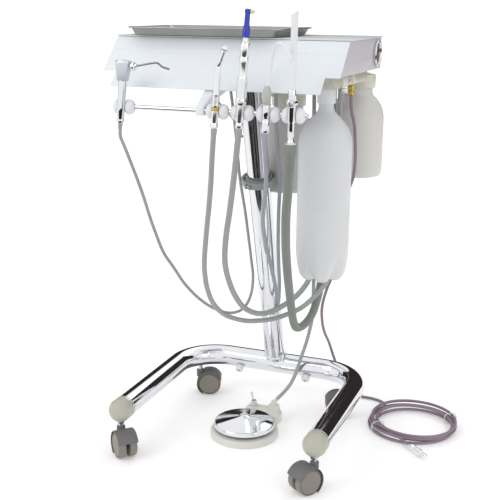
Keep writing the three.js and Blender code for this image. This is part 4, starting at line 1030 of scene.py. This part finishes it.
tipWay = inSlot("hve").to_3x3() @ Vector((-0.5, -0.2, 0.84))
bpy.ops.mesh.bisect(plane_co=tipCut, plane_no=tipWay, use_fill=False, clear_outer=True)
bpy.ops.mesh.select_all(action="DESELECT")
bpy.ops.mesh.select_non_manifold()
bpy.ops.mesh.bridge_edge_loops()
bpy.ops.mesh.select_all(action="SELECT")
bpy.ops.mesh.normals_make_consistent(inside=False)
bpy.ops.object.mode_set(mode="OBJECT")
settle(soften(tip), "suction_tip", "hve_tip", "whitePlastic", ["hve_tip"])
cuff = turned([(0, -92), (9.3, -92), (9.7, -82), (10.3, -76), (11.2, -72), (11.4, -69), (11.4, -53),
    (11, -51.6),
    (9.8, -51.4), (0, -51.4)], inSlot("hve"), 48)
settle(cuff, "suction_hose_cuff", "hve_valve", "hoseDark")
print("suction")


# Bottles: a blow-moulded bottle with a five-lobed foot, and two wide-mouth jugs in their caps
bottle = dict(x=183.6, y=-30, lobes=5, foot=409, lobeTop=474, lobeDepth=0.3)
bottlePlace = Matrix.Translation(at(bottle["x"], bottle["y"], 0))
bottleProfile = [
    (0, 419), (9, 416), (20, 411), (29, 409), (37, 410), (43, 414.6), (47.4, 422), (50.8, 433), (53.2, 447),
    (54.6, 462), (55, 478), (55, 560), (54.8, 561.4), (55, 563), (55, 690), (54.4, 702), (52.2, 714),
    (47.4, 726),
    (39.6, 738), (29.6, 748.6), (21.6, 756), (17.2, 762), (15.4, 769), (15.1, 776), (15.1, 802.4),
    (12.8, 802.4),
    (12.8, 768),
]
water = turned(bottleProfile, still, 120)
for vertex in water.data.vertices:
    height = vertex.co.z / mm
    share = max(0, min(1, (bottle["lobeTop"] - height) / (bottle["lobeTop"] - bottle["foot"])))
    out = math.hypot(vertex.co.x, vertex.co.y) / (48 * mm)
    around = math.atan2(vertex.co.y, vertex.co.x)
    valley = (0.5 - 0.5 * math.cos(bottle["lobes"] * around)) ** 2.6
    vertex.co.x *= 1 - bottle["lobeDepth"] * valley * share * min(1, out)
    vertex.co.y *= 1 - bottle["lobeDepth"] * valley * share * min(1, out)
    vertex.co.z += 9 * mm * valley * share ** 2 * min(1, out)
applied(water, "SOLIDIFY", thickness=0.9 * mm, offset=-1)
settle(soften(seated(water, bottlePlace)), "water_bottle", "front_bottle", "bottlePlastic",
    ["front_bottle"])


def ribbed(profile, place, low, high, count, depth):  # a turned cap whose side has upright grip ribs
    cap = turned([*profile, profile[0]], still, count * 4)
    for vertex in cap.data.vertices:
        z = vertex.co.z / mm
        out = math.hypot(vertex.co.x, vertex.co.y) / mm
        step = round(math.atan2(vertex.co.y, vertex.co.x) / (2 * math.pi) * count * 4) % 4
        if low <= z <= high and out > profile[1][0] - 1.2 and step < 2:
            vertex.co.x *= 1 - depth / out
            vertex.co.y *= 1 - depth / out
    return soften(seated(cap, place), 0)


cap = ribbed([(15.7, 777), (18.4, 777), (18.9, 778.4), (18.9, 780), (18.9, 800), (18.9, 803), (18.2, 805.6),
    (17.2, 806.6), (12, 806.6), (12, 804), (15.7, 803.2)], bottlePlace, 779, 801, 36, 0.7)
settle(cap, "bottle_screw_cap", "cart", "whitePlastic", ["bottle_cap"])

jugs = dict(right_jug=(196, 170, 600), center_jug=(35.1, 176, 552))
jugProfile = [
    (0, 4), (30, 4), (44, 3.4), (48, 1.6), (52, 0), (55.4, 1), (58, 4), (59.6, 10), (60, 20), (60, 60),
    (60, 122),
    (59.4, 132), (57.2, 144), (53, 155), (47, 165), (40, 173), (35, 178), (33.2, 182), (33, 187), (33, 213),
    (30.8, 213), (30.8, 186),
]
for name, (x, y, z) in jugs.items():
    place = Matrix.Translation(at(x, y, z))
    shell = turned(jugProfile, place, 80)
    applied(shell, "SOLIDIFY", thickness=0.9 * mm, offset=-1)
    settle(soften(shell), name.replace("_jug", "_waste_jug"), name, "jugPlastic", [name])
levels = []
for i in range(7):
    span = 0.30 if i % 2 == 0 else 0.18
    arc = [(jugs["center_jug"][0] + 60.1 * math.cos(a), jugs["center_jug"][1] + 60.1 * math.sin(a))
        for a in [-2.2 + span * k / 6 for k in range(7)]]
    levels.append(along([at(x, y, 586 + i * 14) for x, y in arc], 0.45, 6))
settle(joined(levels), "jug_graduations", "center_jug", "jugPlastic")
settle(refined("jug_bracket", 0.6), "jug_caps_and_bracket", "cart", "clearBeige",
    ["jug_bracket"])
stay = flowing([at(x, y, z) for x, y, z in ((-66, -130, 836), (-42, -92, 790), (-14, -38, 733),
    (-6, -8, 694))], 0.006)
settle(along(stay, 2.2, 14), "drain_line", "cart", "collarPlastic")
print("bottles")


# Foot control
foot = dict(x=-1, y=4, post=(-12, 96))
footPlace = Matrix.Translation(at(foot["x"], foot["y"], 0))
settle(refined("foot_base", 1.2, 3), "foot_housing", "cart", "creamPlastic", ["foot_base"])
disc = turned([(0, 46), (16, 41), (66, 31), (67.4, 24), (68.6, 23.2), (70, 24), (70, 31), (69.4, 32.6),
    (67.6, 33.8),
    (66.4, 34.1), (18, 43.4), (12, 45), (9, 46.6), (6, 48.2), (3, 48.9), (0, 49)], footPlace, 96)
settle(disc, "foot_plate", "foot_disc", "chrome", ["foot_disc"])
postPlace = Matrix.Translation(at(*foot["post"], 0))
collars = joined([
    hoop([(6.7, 34.2), (8.6, 34.2), (8.9, 35), (8.9, 36.6), (8.4, 37.2), (6.7, 37.2)], postPlace, 6),
    hoop([(5.1, 42.2), (6.4, 42.2), (7, 43), (6.6, 45), (5.1, 45.4)], postPlace, 32),
])
settle(collars, "toggle_nut", "cart", "steel")
toggle = turned([(0, 0.4), (2.2, 0.4), (2.1, 6), (1.9, 11), (2.3, 18), (2.8, 24), (2.7, 26.4), (2, 28.4),
    (0, 29)],
    toward((-0.25, 0, 0.97), at(*foot["post"], 38)), 32)
settle(toggle, "toggle_lever", "foot_toggle", "steel", ["foot_toggle"])
print("foot control")
